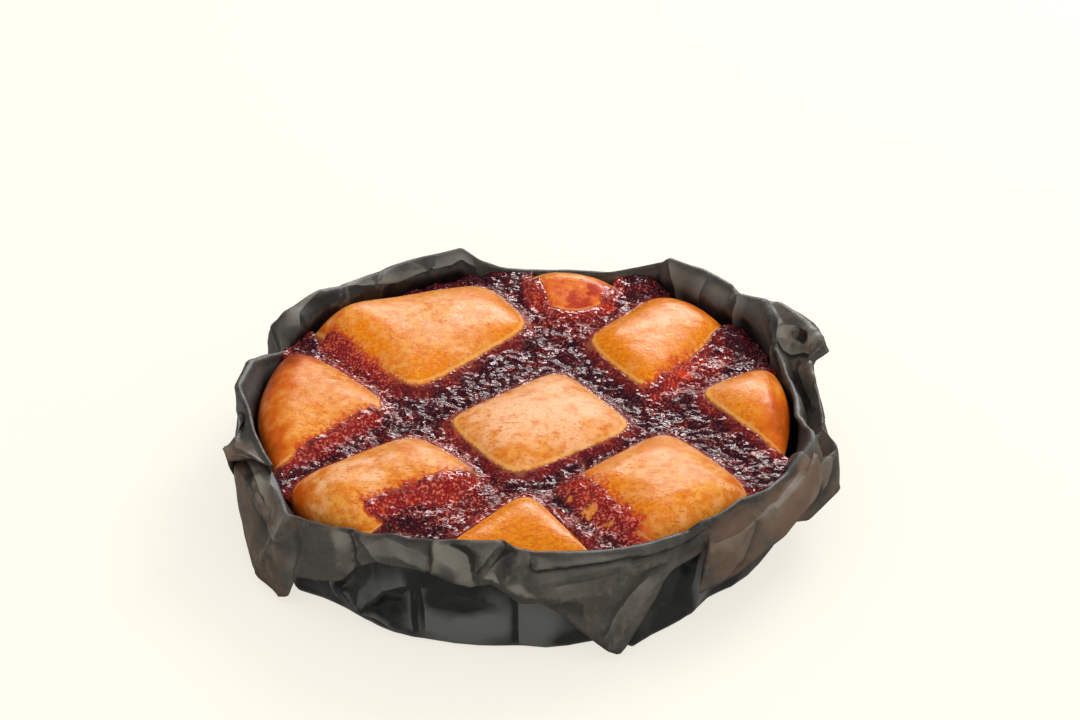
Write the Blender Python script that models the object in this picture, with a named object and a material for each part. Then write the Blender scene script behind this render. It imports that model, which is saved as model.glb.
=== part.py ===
"""A round blueberry tart, still in the dark baking paper it was baked in.

Three sub-parts, each one closed body:
  paper_case  a square sheet of baking paper pressed round the tart and folded out over itself
  cake        the batter, risen into nine puffed pads between two pairs of crossing grooves
  jam         the lattice of berry jam that fills the grooves

+X is to the right and +Y away from someone who looks at the front corner flap of the paper.
The tart stands on z = 0, and the bottom centre of its box is the origin.
"""

import math
from collections import namedtuple

import bmesh
import bpy
import numpy as np
from mathutils import Vector, noise

MM = 0.001  # the sizes below are in millimetres, the meshes in metres

# The cake, a round of an 18 cm tin.
CAKE_RADIUS = 89.8
CAKE_FOOT_RADIUS = 86.8
CAKE_BOTTOM = 0.95
CAKE_FOOT_HEIGHT = 4.0
TOP_RIM_INSET = 1.2  # the top surface stops this far inside the side

# The relief of its top.
GROOVE_FLOOR = 27.5
PAD_RISE = 13.6  # how far a wide pad stands above the groove floor
PUFF_LENGTH = 6.5  # how fast a pad swells inwards from its foot
PAD_SKIRT = 5.0  # the foot of a pad lies this far outside its outline
CORNER_SOFTNESS = 4.0
RIM_ROUND_START = 77.0
RIM_ROUND_END = 90.5
RIM_ROUND_LEFT = 0.12  # the share of the rise that is left at the paper

# The jam.
JAM_LEVEL = 32.4
JAM_CLIMB = 2.6  # how far it climbs up the foot of a pad
JAM_CLIMB_LENGTH = 3.2
JAM_CALM_START = 80.0  # from here out it lies lower, towards the paper
JAM_LUMP_HEIGHT = 0.9
JAM_LUMP_SIZE = 8.0
JAM_LAP = 1.5  # the jam keeps its level this far over a pad's outline
JAM_LAP_SLOPE = 2.2
JAM_GAP = 0.5
JAM_BLOCK_BOTTOM = 18.0

# The paper.
PAPER = 0.6
SHEET_FLOOR = PAPER / 2
WALL_BELLY = 0.5  # the wall bows out this far between foot and shoulder
SHOULDER_RADIUS = 92.3
SHOULDER_DROP = 6.5
CREST_ROUND = 0.9  # half the width of the fold at the crest
COLLAR_BOW = 1.0
EVEN_SHARE = 0.08  # how far the wall's folds are drawn towards even angles

TOP_CELLS = 44  # grid cells across the top of the cake and of the jam
COLUMN_LENGTH = 7.5  # the widest column of the paper, measured along the rim

# Outlines of the pads: corners of convex shapes, anticlockwise, later rounded. Those of the rim
# pads reach past the rim, which cuts them.
PADS = {
    "centre": ((-28, -13), (-4, -48), (38.5, -17.5), (12.5, 20.5)),
    "upper_left": ((-37, 4), (4, 49), (-14, 81), (-86, 57)),
    "left": ((-44, -4), (-72, 29.5), (-100, 44), (-112, -10), (-96, -56)),
    "lower_left": ((-36.5, -19.5), (-90, -60), (-66, -92), (-12, -45)),
    "upper_right": ((20, 39), (43, 1), (90, 76), (58, 82)),
    "right": ((57, 5), (97, -50), (112, -7), (98, 31)),
    "lower_right": ((47.5, -17), (10, -51), (44, -87), (84, -71), (62, -33)),
    "front": ((1, -51), (-34, -91), (0, -112), (28, -93)),
    "back": ((18, 55), (33, 64), (38, 100), (0, 100), (3, 64)),
}

# Places where the batter stayed lower or higher: x, y, half-width, height.
SWELLS = (
    (-64, 50, 15, 3.0),
    (-38, -68, 11, -5.0),
    (18, 66, 9, -2.5),
    (28, -64, 8, -2.0),
    (0, -86, 20, -7.0),
)

# Places where the jam heaps up against the paper or over a pad: x, y, half-width, height.
JAM_HEAPS = (
    (44, 80, 11, 6.5),
    (2, 86, 12, 1.5),
    (74, 47, 8, 2.5),
    (-36, -66, 10, 1.5),
    (-50, 76, 13, -4.0),
)

# The folds of the paper, in order round the rim from the left side through the front, the right
# and the back. Each is a line over the sheet: the radius of the wall's foot, then angle, radius
# and height of the crest and of the free edge, and where the collar doesn't hang straight
# between them, of a valley and of an outer lip.
Fold = namedtuple("Fold", "foot crest edge valley lip shoulder", defaults=(None, None, None))

FOLDS = (
    # Left side: a narrow band that widens to a flap standing out from the rim.
    Fold(91, (-172, 92.8, 39.5), (-173, 96.4, 24), lip=(-173, 94.8, 37)),
    Fold(91, (-164, 92.5, 39.5), (-168, 101, 31), lip=(-165.5, 98, 36.8)),
    Fold(91, (-156, 92.0, 38.8), (-162.5, 103, 36.5), valley=(-158, 96, 38.4), lip=(-160.5, 100, 37.6)),
    Fold(91, (-151.5, 91.8, 38.2), (-158, 103.2, 35.6), valley=(-155, 95, 37.8), lip=(-157, 100, 36.8)),
    # The tuck under that flap, and the low left panel that comes out of it.
    Fold(91, (-155.5, 91.2, 35.0), (-163, 99.0, 22), valley=(-159, 94, 34.4), lip=(-163.5, 98.4, 32.6)),
    Fold(92, (-152.0, 91.8, 34.6), (-149.5, 103.2, 7), valley=(-157, 96, 34.0), lip=(-160, 101.2, 31.4)),
    Fold(94, (-147.0, 93.0, 34.0), (-147, 103.6, 5), valley=(-150, 96.5, 33.4), lip=(-152, 99.8, 32.0)),
    # Front left: the corner crease, the broad hanging panel and the short lifted stretch.
    Fold(96, (-140.5, 96.6, 32.2), (-145.2, 103.7, 4), lip=(-141.7, 98.6, 28.6)),
    Fold(94.5, (-138.6, 96.2, 32.8), (-141.0, 101.2, 1.8), lip=(-139.6, 98.4, 24.0)),
    Fold(93, (-136.4, 95.8, 33.4), (-138.2, 99.8, 3.4)),
    Fold(92, (-133.3, 95.0, 34.3), (-136.5, 100.0, 12.5)),
    Fold(91.5, (-128.5, 94.6, 36.3), (-130.5, 99.0, 16.5)),
    Fold(92, (-124.0, 94.0, 38.0), (-124.8, 98.0, 20.5)),
    Fold(92.5, (-120.8, 94.0, 38.4), (-121.5, 97.5, 28)),
    Fold(93, (-117.9, 94.0, 40.1), (-117.2, 97.0, 33)),
    Fold(92.5, (-114.4, 94.0, 42.0), (-112.6, 97.0, 32.8)),
    Fold(92, (-111.8, 94.0, 41.3), (-109.3, 97.0, 33.1)),
    Fold(91.5, (-105.6, 94.0, 43.3), (-105.6, 97.2, 33)),
    Fold(91, (-100.8, 94.0, 44.6), (-102.8, 97.5, 31)),
    Fold(90.5, (-97.5, 94.0, 45.0), (-99.2, 98.0, 29.5)),
    Fold(90, (-94.1, 94.0, 45.6), (-96.0, 97.4, 32)),
    Fold(90, (-92.4, 93.8, 43.2), (-94.0, 97.4, 29.8)),
    # Front: the large corner flap under a narrow hem, down to its point on the table.
    Fold(91.2, (-88.0, 94.0, 41.2), (-90.9, 97.0, 24.5), valley=(-88.2, 96.4, 35.6)),
    Fold(91, (-83.5, 94.0, 41.0), (-87.0, 98.0, 25.2), valley=(-83.0, 96.6, 35.8)),
    Fold(90, (-76.0, 94.0, 39.9), (-82.0, 98.3, 17), valley=(-74.6, 96.7, 36.2)),
    Fold(96.5, (-71.5, 94.0, 39.5), (-76.8, 99.0, 7), valley=(-70.2, 96.6, 36.6)),
    Fold(94, (-67.0, 94.0, 39.2), (-72.6, 98.5, 1.5), valley=(-67.2, 96.5, 37.0)),
    Fold(93, (-63.0, 94.0, 39.2), (-66.3, 98.5, 21), valley=(-63.1, 96.2, 37.0)),
    Fold(92.3, (-59.8, 93.8, 39.0), (-63.3, 97.2, 29.5), valley=(-59.9, 95.9, 36.8)),
    # The recess beside it, where the wall shows.
    Fold(91.6, (-57.4, 92.2, 37.0), (-56.6, 94.6, 28.0)),
    Fold(90.5, (-54.6, 93.6, 39.8), (-53.4, 95.4, 31.0)),
    # Front right: one long smooth flap over a second one.
    Fold(89, (-51.0, 95.2, 40.6), (-57.8, 100.0, 17), lip=(-55.0, 99.6, 31.5)),
    Fold(90, (-45.2, 95.0, 41.3), (-49.3, 102.0, 20.5)),
    Fold(91, (-40.0, 95.2, 39.2), (-44.6, 103.2, 24.6)),
    Fold(91.5, (-35.2, 95.0, 37.0), (-38.6, 104.2, 25.6)),
    Fold(92, (-28.5, 95.4, 36.2), (-33.0, 105.2, 28.6)),
    Fold(92, (-21.5, 96.6, 38.5), (-24.0, 106.2, 28.8), lip=(-21.0, 101.2, 38.0)),
    Fold(92, (-25.5, 94.6, 35.0), (-30.5, 101.0, 21), lip=(-27.5, 99.0, 32.4)),
    Fold(92, (-21.5, 96.2, 35.4), (-27.0, 104.0, 18.5), lip=(-22.5, 102.2, 31.5)),
    Fold(92, (-16.5, 97.4, 36.8), (-17.2, 109.6, 21), lip=(-16.3, 107.0, 35.4)),
    # Right: an inner ridge, a hollow behind it and a raised outer flap.
    Fold(92, (-13.2, 97.0, 37.6), (-12.5, 106.0, 22), valley=(-13.2, 98.8, 36.2), lip=(-11.8, 101.0, 38.4)),
    Fold(91.5, (-8.0, 91.6, 36.8), (-8.0, 105.0, 22), valley=(-8.0, 95.8, 27), lip=(-8.5, 100.4, 39.2)),
    Fold(91.5, (-1.0, 91.8, 36.8), (-1.0, 104.0, 22), valley=(-1.0, 95.5, 27), lip=(-2.0, 99.2, 40.4)),
    Fold(91.5, (5.0, 91.8, 37.2), (5.0, 103.6, 22), valley=(5.0, 95.6, 28), lip=(3.5, 98.6, 41.6)),
    Fold(91.5, (12.5, 91.9, 38.0), (10.5, 104.0, 25), valley=(11.0, 95.8, 31), lip=(8.6, 99.2, 43)),
    Fold(91.5, (14.5, 92.1, 38.6), (10.0, 101.6, 38.5), valley=(12.6, 96.4, 33), lip=(9.4, 100.6, 43.8)),
    Fold(91.5, (17.5, 92.4, 39.6), (11.5, 108.0, 41.5), valley=(15.0, 97.5, 36), lip=(10.4, 106.0, 45.2)),
    Fold(91.5, (23.5, 95.4, 43.6), (19.0, 108.0, 31), valley=(21.5, 99.0, 42.4), lip=(17.4, 105.2, 45.8)),
    Fold(91.5, (29.6, 98.8, 46.6), (28.5, 106.0, 29), valley=(29.0, 100.2, 46.0), lip=(27.6, 102.4, 46.2)),
    Fold(91.5, (36.6, 96.6, 44.4), (37.0, 102.0, 26)),
    # Right of the back: a high smooth panel that ends in a step.
    Fold(91.5, (38.6, 98.2, 43.6), (39.5, 103.4, 25)),
    Fold(91.5, (47.0, 97.2, 45.6), (47.0, 102.6, 27)),
    Fold(91.5, (55.6, 95.6, 47.5), (55.6, 101.6, 29)),
    Fold(91.5, (57.6, 93.4, 44.6), (58.6, 98.0, 28)),
    # Back: the lowest stretch, level with the jam.
    Fold(91.5, (64.0, 93.2, 40.4), (64.5, 98.4, 23)),
    Fold(91.5, (70.0, 93.2, 36.2), (70.5, 98.4, 19)),
    Fold(91.5, (80.0, 93.2, 33.8), (80.0, 98.6, 17)),
    Fold(91.5, (89.5, 93.2, 33.2), (89.0, 98.6, 16)),
    Fold(91.5, (95.7, 93.2, 35.2), (95.0, 99.0, 15)),
    Fold(91.5, (100.2, 93.8, 38.8), (99.6, 99.0, 14)),
    # Left of the back: the rim leans out in a wide band, with the sheet's back corner.
    Fold(91.5, (103.6, 100.4, 41.4), (104.0, 105.4, 9), shoulder=(93.4, 36.6)),
    Fold(91.5, (113.0, 100.2, 39.8), (111.0, 105.0, 16), shoulder=(93.6, 35.4)),
    Fold(91.5, (121.0, 99.0, 39.4), (120.0, 103.6, 22), shoulder=(93.4, 36.0)),
    Fold(91.5, (129.0, 97.2, 39.4), (129.0, 102.4, 23), shoulder=(93.4, 36.4)),
    Fold(91.5, (139.4, 97.6, 41.6), (139.0, 102.2, 25), shoulder=(92.8, 36.4)),
    Fold(91.5, (149.8, 99.6, 41.0), (149.0, 103.6, 26), shoulder=(92.4, 36.0)),
    Fold(91.5, (153.6, 100.8, 37.6), (153.0, 104.4, 27), shoulder=(92.4, 34.0)),
    Fold(91.5, (157.8, 92.9, 33.0), (158.6, 98.2, 19), shoulder=(92.0, 29.5)),
    # Back of the left side.
    Fold(91.5, (167.5, 96.4, 38.0), (167.0, 101.0, 22), shoulder=(92.2, 32.0)),
    Fold(91.5, (177.6, 96.8, 38.8), (177.0, 98.6, 23), shoulder=(92.4, 32.5)),
)


def clear_scene():
    for thing in list(bpy.data.objects):
        bpy.data.objects.remove(thing)


def principled(name, colour, roughness):
    """A plain material of one colour."""
    material = bpy.data.materials.new(name)
    material.use_nodes = True
    shader = material.node_tree.nodes["Principled BSDF"]
    shader.inputs["Base Color"].default_value = (*colour, 1)
    shader.inputs["Roughness"].default_value = roughness
    shader.inputs["Metallic"].default_value = 0
    material.diffuse_color = (*colour, 1)
    return material


def polar(angle, radius, height):
    """A point in millimetres from an angle in degrees, a radius and a height."""
    turn = math.radians(angle)
    return np.array((radius * math.cos(turn), radius * math.sin(turn), height))


def bumps(places, x, y):
    """The sum of round swellings, each x, y, half-width and height."""
    total = np.zeros_like(x)
    for centre_x, centre_y, width, height in places:
        total += height * np.exp(-((x - centre_x) ** 2 + (y - centre_y) ** 2) / width**2)
    return total


def inside_pad(corners, x, y):
    """How far a point lies inside a convex outline whose corners are softly rounded."""
    total = np.zeros_like(x)
    for (x0, y0), (x1, y1) in zip(corners, corners[1:] + corners[:1]):
        length = math.hypot(x1 - x0, y1 - y0)
        outside = ((y1 - y0) * (x - x0) - (x1 - x0) * (y - y0)) / length
        total += np.exp(np.clip(outside / CORNER_SOFTNESS, -60, 60))
    return -CORNER_SOFTNESS * np.log(total)


def inside_any_pad(x, y):
    return np.max([inside_pad(corners, x, y) for corners in PADS.values()], axis=0)


def cake_top(x, y):
    """Height of the baked surface: pads that swell from the groove floor and round off at the rim."""
    inside = inside_any_pad(x, y) + PAD_SKIRT
    puff = 1 - np.exp(-np.maximum(inside, 0) / PUFF_LENGTH)
    radius = np.hypot(x, y)
    towards_rim = np.clip((radius - RIM_ROUND_START) / (RIM_ROUND_END - RIM_ROUND_START), 0, 1)
    rounding = RIM_ROUND_LEFT + (1 - RIM_ROUND_LEFT) * np.sqrt(1 - towards_rim**2)
    return GROOVE_FLOOR + (PAD_RISE + bumps(SWELLS, x, y)) * puff * rounding


def jam_top(x, y):
    """Height of the jam, which drops away below the baked surface under the pads."""
    lumps = np.array([
        noise.noise(Vector((px / JAM_LUMP_SIZE, py / JAM_LUMP_SIZE, 0))) for px, py in zip(x, y)
    ])
    inside = inside_any_pad(x, y)
    off_rim = 1 - np.clip((np.hypot(x, y) - JAM_CALM_START) / (CAKE_RADIUS - JAM_CALM_START), 0, 1)
    climb = JAM_CLIMB * off_rim * np.exp(np.minimum(inside, 0) / JAM_CLIMB_LENGTH)
    level = JAM_LEVEL + climb + bumps(JAM_HEAPS, x, y) + JAM_LUMP_HEIGHT * lumps
    return np.maximum(level - JAM_LAP_SLOPE * np.maximum(inside - JAM_LAP, 0), JAM_BLOCK_BOTTOM + 1)


def square_to_disc(u, v):
    """Concentric map of the square from -1 to 1 onto the unit disc, which keeps areas even."""
    wide = np.abs(u) >= np.abs(v)
    with np.errstate(divide="ignore", invalid="ignore"):
        radius = np.where(wide, u, v)
        angle = np.where(wide, np.pi / 4 * v / u, np.pi / 2 - np.pi / 4 * u / v)
    angle = np.nan_to_num(angle)
    return radius * np.cos(angle), radius * np.sin(angle)


def move_vertices(mesh, places):
    for vertex, place in zip(mesh.verts, places):
        vertex.co = Vector(place) * MM


def disc_grid(height):
    """A bmesh of the top of the cake or jam: an even grid over the round, lifted by height(x, y)."""
    mesh = bmesh.new()
    bmesh.ops.create_grid(mesh, x_segments=TOP_CELLS, y_segments=TOP_CELLS, size=1)
    flat = np.array([vertex.co for vertex in mesh.verts], float)
    x, y = square_to_disc(flat[:, 0], flat[:, 1])
    x, y = x * (CAKE_RADIUS - TOP_RIM_INSET), y * (CAKE_RADIUS - TOP_RIM_INSET)
    move_vertices(mesh, np.column_stack((x, y, height(x, y))))
    return mesh


def extrude_rim(mesh, place):
    """Extrudes the open boundary once and puts each new vertex where place(x, y, z) says."""
    rim = [edge for edge in mesh.edges if edge.is_boundary]
    made = bmesh.ops.extrude_edge_only(mesh, edges=rim)["geom"]
    for vertex in (item for item in made if isinstance(item, bmesh.types.BMVert)):
        vertex.co = Vector(place(*(vertex.co / MM))) * MM


def at_radius(x, y, radius):
    share = radius / math.hypot(x, y)
    return x * share, y * share


def close_and_make(name, mesh, material):
    """Fills the open boundary, points the faces out and makes the object."""
    bmesh.ops.edgeloop_fill(mesh, edges=[edge for edge in mesh.edges if edge.is_boundary])
    bmesh.ops.triangulate(mesh, faces=mesh.faces)
    bmesh.ops.recalc_face_normals(mesh, faces=mesh.faces)
    return make_object(name, mesh, material)


def make_object(name, mesh, material):
    data = bpy.data.meshes.new(name)
    mesh.to_mesh(data)
    mesh.free()
    data.materials.append(material)
    data.shade_smooth()
    made = bpy.data.objects.new(name, data)
    bpy.context.scene.collection.objects.link(made)
    return made


def make_cake():
    mesh = disc_grid(cake_top)
    extrude_rim(mesh, lambda x, y, z: (*at_radius(x, y, CAKE_RADIUS), z - 2 * TOP_RIM_INSET))
    extrude_rim(mesh, lambda x, y, z: (*at_radius(x, y, CAKE_FOOT_RADIUS), CAKE_FOOT_HEIGHT))
    foot = CAKE_FOOT_RADIUS - CAKE_FOOT_HEIGHT + CAKE_BOTTOM
    extrude_rim(mesh, lambda x, y, z: (*at_radius(x, y, foot), CAKE_BOTTOM))
    return close_and_make("cake", mesh, principled("baked_batter", (0.85, 0.46, 0.19), 0.5))


def make_jam():
    """A block up to the jam's level, less the baked surface raised by the gap."""
    block = disc_grid(jam_top)
    extrude_rim(block, lambda x, y, z: (x, y, JAM_BLOCK_BOTTOM))
    jam = close_and_make("jam", block, principled("berry_jam", (0.09, 0.015, 0.03), 0.25))

    raised = disc_grid(lambda x, y: cake_top(x, y) + JAM_GAP)
    extrude_rim(raised, lambda x, y, z: (*at_radius(x, y, 1.1 * CAKE_RADIUS), z))
    extrude_rim(raised, lambda x, y, z: (x, y, JAM_BLOCK_BOTTOM - 5))
    cutter = close_and_make("raised_cake", raised, jam.data.materials[0])
    cut = jam.modifiers.new("clear_of_cake", "BOOLEAN")
    cut.operation = "DIFFERENCE"
    cut.solver = "EXACT"
    cut.object = cutter
    apply_modifiers(jam)
    bpy.data.objects.remove(cutter)
    keep_largest_body(jam)
    return jam


def apply_modifiers(thing):
    graph = bpy.context.evaluated_depsgraph_get()
    data = bpy.data.meshes.new_from_object(thing.evaluated_get(graph))
    thing.modifiers.clear()
    thing.data = data


def keep_largest_body(thing):
    """Drops the loose scraps that a cut left beside the main body."""
    mesh = bmesh.new()
    mesh.from_mesh(thing.data)
    bodies = []
    unvisited = set(mesh.verts)
    while unvisited:
        body = grow = {unvisited.pop()}
        while grow:
            grow = {edge.other_vert(vertex) for vertex in grow for edge in vertex.link_edges} - body
            body = body | grow
        unvisited -= body
        bodies.append(body)
    largest = max(bodies, key=len)
    bmesh.ops.delete(mesh, geom=[vertex for vertex in mesh.verts if vertex not in largest], context="VERTS")
    mesh.to_mesh(thing.data)
    mesh.free()


def wall_angles():
    """The angles of the folds, made to rise all the way round, because only the collar is pleated back."""
    crests = np.array([fold.crest[0] for fold in FOLDS])
    so_far = np.maximum.accumulate(crests)
    to_come = np.minimum.accumulate(crests[::-1])[::-1]
    even = crests[0] + 360 * np.arange(len(crests)) / len(crests)
    return (1 - EVEN_SHARE) * (so_far + to_come) / 2 + EVEN_SHARE * even


def fold_profile(fold, wall_angle):
    """The line of one fold over the sheet, as points from the floor's centre to the free edge."""
    angle, radius, height = fold.crest
    crest = polar(*fold.crest)
    edge = polar(*fold.edge)
    shoulder = fold.shoulder or (SHOULDER_RADIUS, height - SHOULDER_DROP)
    outwards = np.append(crest[:2] / radius, 0)
    valley = polar(*fold.valley) if fold.valley else crest + 0.35 * (edge - crest) + COLLAR_BOW * outwards
    lip = polar(*fold.lip) if fold.lip else valley + 0.5 * (edge - valley) + COLLAR_BOW / 2 * outwards
    wall = [
        (fold.foot + share * (shoulder[0] - fold.foot) + belly, share * shoulder[1])
        for share, belly in ((0.3, WALL_BELLY), (0.65, WALL_BELLY))
    ]
    floor = [(0, SHEET_FLOOR), (30, SHEET_FLOOR), (60, SHEET_FLOOR), (fold.foot - 2.5, SHEET_FLOOR)]
    inner = [polar(wall_angle, *point) for point in (*floor, (fold.foot - 0.4, 2.2), *wall)]
    inner.append(polar((angle + wall_angle) / 2, *shoulder))
    inner_crest = crest - CREST_ROUND * outwards - np.array((0, 0, CREST_ROUND / 2))
    outer_crest = crest + CREST_ROUND * outwards - np.array((0, 0, CREST_ROUND / 2))
    return np.array([*inner, inner_crest, outer_crest, valley, lip, edge])


def paper_columns():
    """The profiles of all columns: the folds, with straight stretches of sheet between them."""
    profiles = [fold_profile(*pair) for pair in zip(FOLDS, wall_angles())]
    columns = []
    for this, following in zip(profiles, profiles[1:] + profiles[:1]):
        span = np.linalg.norm(following[-4] - this[-4])
        parts = max(1, round(span / COLUMN_LENGTH))
        columns += [this + (following - this) * part / parts for part in range(parts)]
    return columns


def make_paper_case():
    columns = paper_columns()
    rows = len(columns[0])
    mesh = bmesh.new()
    bmesh.ops.create_grid(mesh, x_segments=len(columns), y_segments=rows - 1, size=1)
    places = []
    for vertex in mesh.verts:
        column = round((vertex.co.x + 1) / 2 * len(columns)) % len(columns)
        row = round((vertex.co.y + 1) / 2 * (rows - 1))
        places.append(columns[column][row])
    move_vertices(mesh, places)
    bmesh.ops.remove_doubles(mesh, verts=mesh.verts, dist=1e-6)
    bmesh.ops.recalc_face_normals(mesh, faces=mesh.faces)
    case = make_object("paper_case", mesh, principled("dark_baking_paper", (0.075, 0.066, 0.06), 0.5))
    thicken = case.modifiers.new("paper_thickness", "SOLIDIFY")
    thicken.thickness = PAPER * MM
    thicken.offset = 0
    return case


def centre_on_origin(things):
    """Moves everything so that the middle of the box stands on the origin."""
    bpy.context.view_layer.update()
    graph = bpy.context.evaluated_depsgraph_get()
    corners = []
    for thing in things:
        mesh = thing.evaluated_get(graph).to_mesh()
        corners += [tuple(vertex.co) for vertex in mesh.vertices]
    low, high = np.min(corners, axis=0), np.max(corners, axis=0)
    shift = Vector((-(low[0] + high[0]) / 2, -(low[1] + high[1]) / 2, -low[2]))
    for thing in things:
        for vertex in thing.data.vertices:
            vertex.co += shift


clear_scene()
centre_on_origin([make_paper_case(), make_cake(), make_jam()])
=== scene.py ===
"""The looks of the blueberry tart: creased dark baking paper, a puffed golden cake and wet berry jam.

Places are in millimetres with the cake's axis at x = y = 0 and the table at z = 0, as in the part's
own tables. move_vertices() and extrude_rim() make them metres, and settle() moves them into the
frame. Angles are in degrees from +X.
"""

import math
from collections import namedtuple

import bmesh
import bpy
import numpy as np
from mathutils import Matrix, Vector, geometry, noise


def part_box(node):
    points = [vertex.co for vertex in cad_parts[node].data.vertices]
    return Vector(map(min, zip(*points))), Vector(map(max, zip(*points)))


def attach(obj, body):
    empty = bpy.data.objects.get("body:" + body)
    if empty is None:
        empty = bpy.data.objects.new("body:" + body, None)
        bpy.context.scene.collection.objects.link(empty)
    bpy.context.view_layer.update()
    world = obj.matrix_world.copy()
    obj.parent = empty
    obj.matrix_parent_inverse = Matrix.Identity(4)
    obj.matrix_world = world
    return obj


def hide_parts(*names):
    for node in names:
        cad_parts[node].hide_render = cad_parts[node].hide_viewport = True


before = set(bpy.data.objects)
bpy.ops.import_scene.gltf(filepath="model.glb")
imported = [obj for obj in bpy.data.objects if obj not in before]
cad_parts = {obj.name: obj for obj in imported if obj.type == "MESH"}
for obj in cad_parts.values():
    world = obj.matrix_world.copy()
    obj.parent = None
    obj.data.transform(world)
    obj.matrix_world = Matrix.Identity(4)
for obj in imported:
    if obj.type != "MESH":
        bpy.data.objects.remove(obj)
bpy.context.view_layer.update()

MM = 0.001
TINY = 1e-6
CAKE_BOTTOM = 0.95
cake_low, cake_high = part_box("cake")
AXIS = Vector((
    (cake_low.x + cake_high.x) / 2,
    (cake_low.y + cake_high.y) / 2,
    cake_low.z - CAKE_BOTTOM * MM,
))

# A layer of smooth noise over a surface: its height, the size of its waves and where it is read.
Wave = namedtuple("Wave", "height size shift stretch", defaults=(0.0, 1.0))

# The cake, a round of an 18 cm tin, and the relief of its top.
CAKE_RADIUS = 89.8
CAKE_FOOT_RADIUS = 86.8
CAKE_FOOT_HEIGHT = 4.0
TOP_RIM_INSET = 1.2
GROOVE_FLOOR = 27.5
PAD_RISE = 13.6
PUFF_LENGTH = 6.5
PAD_SKIRT = 5.0
CORNER_SOFTNESS = 4.0
RIM_ROUND_START = 77.0
RIM_ROUND_END = 90.5
RIM_ROUND_LEFT = 0.12
SCORCH_START = 70.0  # the crust grows darker from here to the paper
RED_MARGIN = 0.3  # juice reddens the crust this far round a film of jam
CAKE_CELLS = 300
CRUST_WAVES = (
    Wave(0.5, 17), Wave(0.18, 6.5, 3.1),
    Wave(0.06, 2.4, 7.7, stretch=1.6), Wave(0.03, 1.1, 9.2),
)
BROWNING_WAVE = Wave(0.25, 12, 5.0)

# The jam.
JAM_LEVEL = 32.4
JAM_CLIMB = 2.6  # how far it climbs up the foot of a pad
JAM_CLIMB_LENGTH = 3.2
JAM_CALM_START = 80.0  # from here out it lies lower, towards the paper
JAM_LAP = 1.5
JAM_LAP_SLOPE = 2.2
JAM_CELLS = 430
JAM_RADIUS = 91.8
JAM_CRUST_RADIUS = 89.0  # further out, the crust under the jam counts as it is here
JAM_UNDERSIDE = 26.0
JAM_MARGIN = 1.6  # the jam's mesh reaches this far down into the cake
JAM_STRETCH_START = 84.0  # from here out it stretches to meet the paper
JAM_GAP = 0.15
JAM_FOOT_RADIUS = 88.4
JAM_DEPTH_MARKED = 8.0
PULP_WAVES = (Wave(1.5, 8), Wave(1.0, 3.6, 6.0), Wave(0.4, 1.5, 8.0))
BERRY_SIZE = 2.6
BERRY_HEIGHT = 0.6
BERRY_MIDDLE = 0.6  # the lumps' mean height
PULP_LEAST = 0.15  # the share of the pulp's relief that is left where the jam runs out
PULP_DEPTH = 2.5  # the relief grows to its whole height over this depth of jam
FILM_WAVES = (Wave(0.3, 5.0, 2.0), Wave(0.15, 2.4, 4.0))
FILM_SLOPE = 1.8
FILM_LOWEST, FILM_HIGHEST = -2.5, 1.1
FILM_PULP = 0.9  # the share of the pulp's relief in a film, and the most that it adds
FILM_END_START, FILM_END, FILM_END_DROP = 81.0, 86.0, 2.2  # it sinks into the crust near the paper
SEARCH_DEPTH = 4.0  # jam further under the crust than this is left flat, as it can't come out
SEARCH_FILM = 3.0

# The paper. Its rows run from the middle of the floor, over the crest, to the collar's free edge.
SHEET_THICKNESS = 0.25
SHEET_FLOOR = 0.3
BOX_MARGIN = 0.02  # the sheet stays this far inside the solid's box
FLOOR_RINGS = (0, 30, 60)
FLOOR_END = 2.5  # the floor's last ring lies this far inside the wall's foot
FOOT_BEND, FOOT_RISE = 0.4, 2.2  # how far inside the foot, and how high, the sheet has bent up
WALL_SHARES = (0.3, 0.65)
WALL_BELLY = 0.5
SHOULDER_RADIUS = 92.3
SHOULDER_DROP = 6.5
CREST_ROUND = 0.9
VALLEY_SHARE = 0.35  # where a plain collar's valley lies, from the crest to the free edge
LIP_SHARE = 0.5  # where its lip lies, from the valley to the free edge
COLLAR_BOW = 1.0
EVEN_SHARE = 0.08
COLUMN_STEP = 1.0
ROW_CUTS = (1, 1, 1, 2, 7, 10, 10, 6, 3, 9, 9, 8)
WALL_ROW = sum(ROW_CUTS[:4])
CREST_ROW = sum(ROW_CUTS[:8]) + 1
OUTER_CREST = 9  # the place of the crest's outer side among a fold's points
SOFT_FROM_ROW = 5
CLEAR_FROM = 1.0  # above this height the wall leaves room to the cake,
CLEAR_FOOT, CLEAR_LEAN, CLEAR_TOP = 87.6, 0.1, 90.7  # a radius that leans out, up to the last one

# The creases: nets of facets whose corners stand up to that depth out or in.
Net = namedtuple("Net", "wide tall depth seed")
BROAD_NET = Net(17, 13, 1.2, 11)
MEDIUM_NET = Net(7.5, 6.5, 0.45, 12)
SMALL_NET = Net(3.6, 3.4, 0.16, 13)
NET_SPAN = 110.0  # half of it down the wall and half down the collar
CORNER_JITTER = 0.42
CREASE_REACH = 5.0  # a pressed crease flattens the paper this far round it
COLLAR_START, WALL_START = 2.0, 3.0  # how far from the crest they are whole
WALL_FOOT = (0.6, 4.6)  # the wall's fade in between these heights
COLLAR_RELIEF = 1.2
WALL_FINE_RELIEF = 0.6
MEDIUM_TILT = 0.7
WALL_TILT = 0.4
TILT_ROUND = 0.5
TILT_SHADE = 1.35  # painted light and shade: facets that tilt up are painted lighter, and those that tilt down darker, by this much for each unit of slope
CREST_SHADE = 0.7  # painted shade: the crest itself is painted darker
CREST_WIDTH = 1.3
STAIN_START = 3.0
TONE_ACROSS = 3.0  # how far a tone beside a pressed line would reach over to its other side
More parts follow.
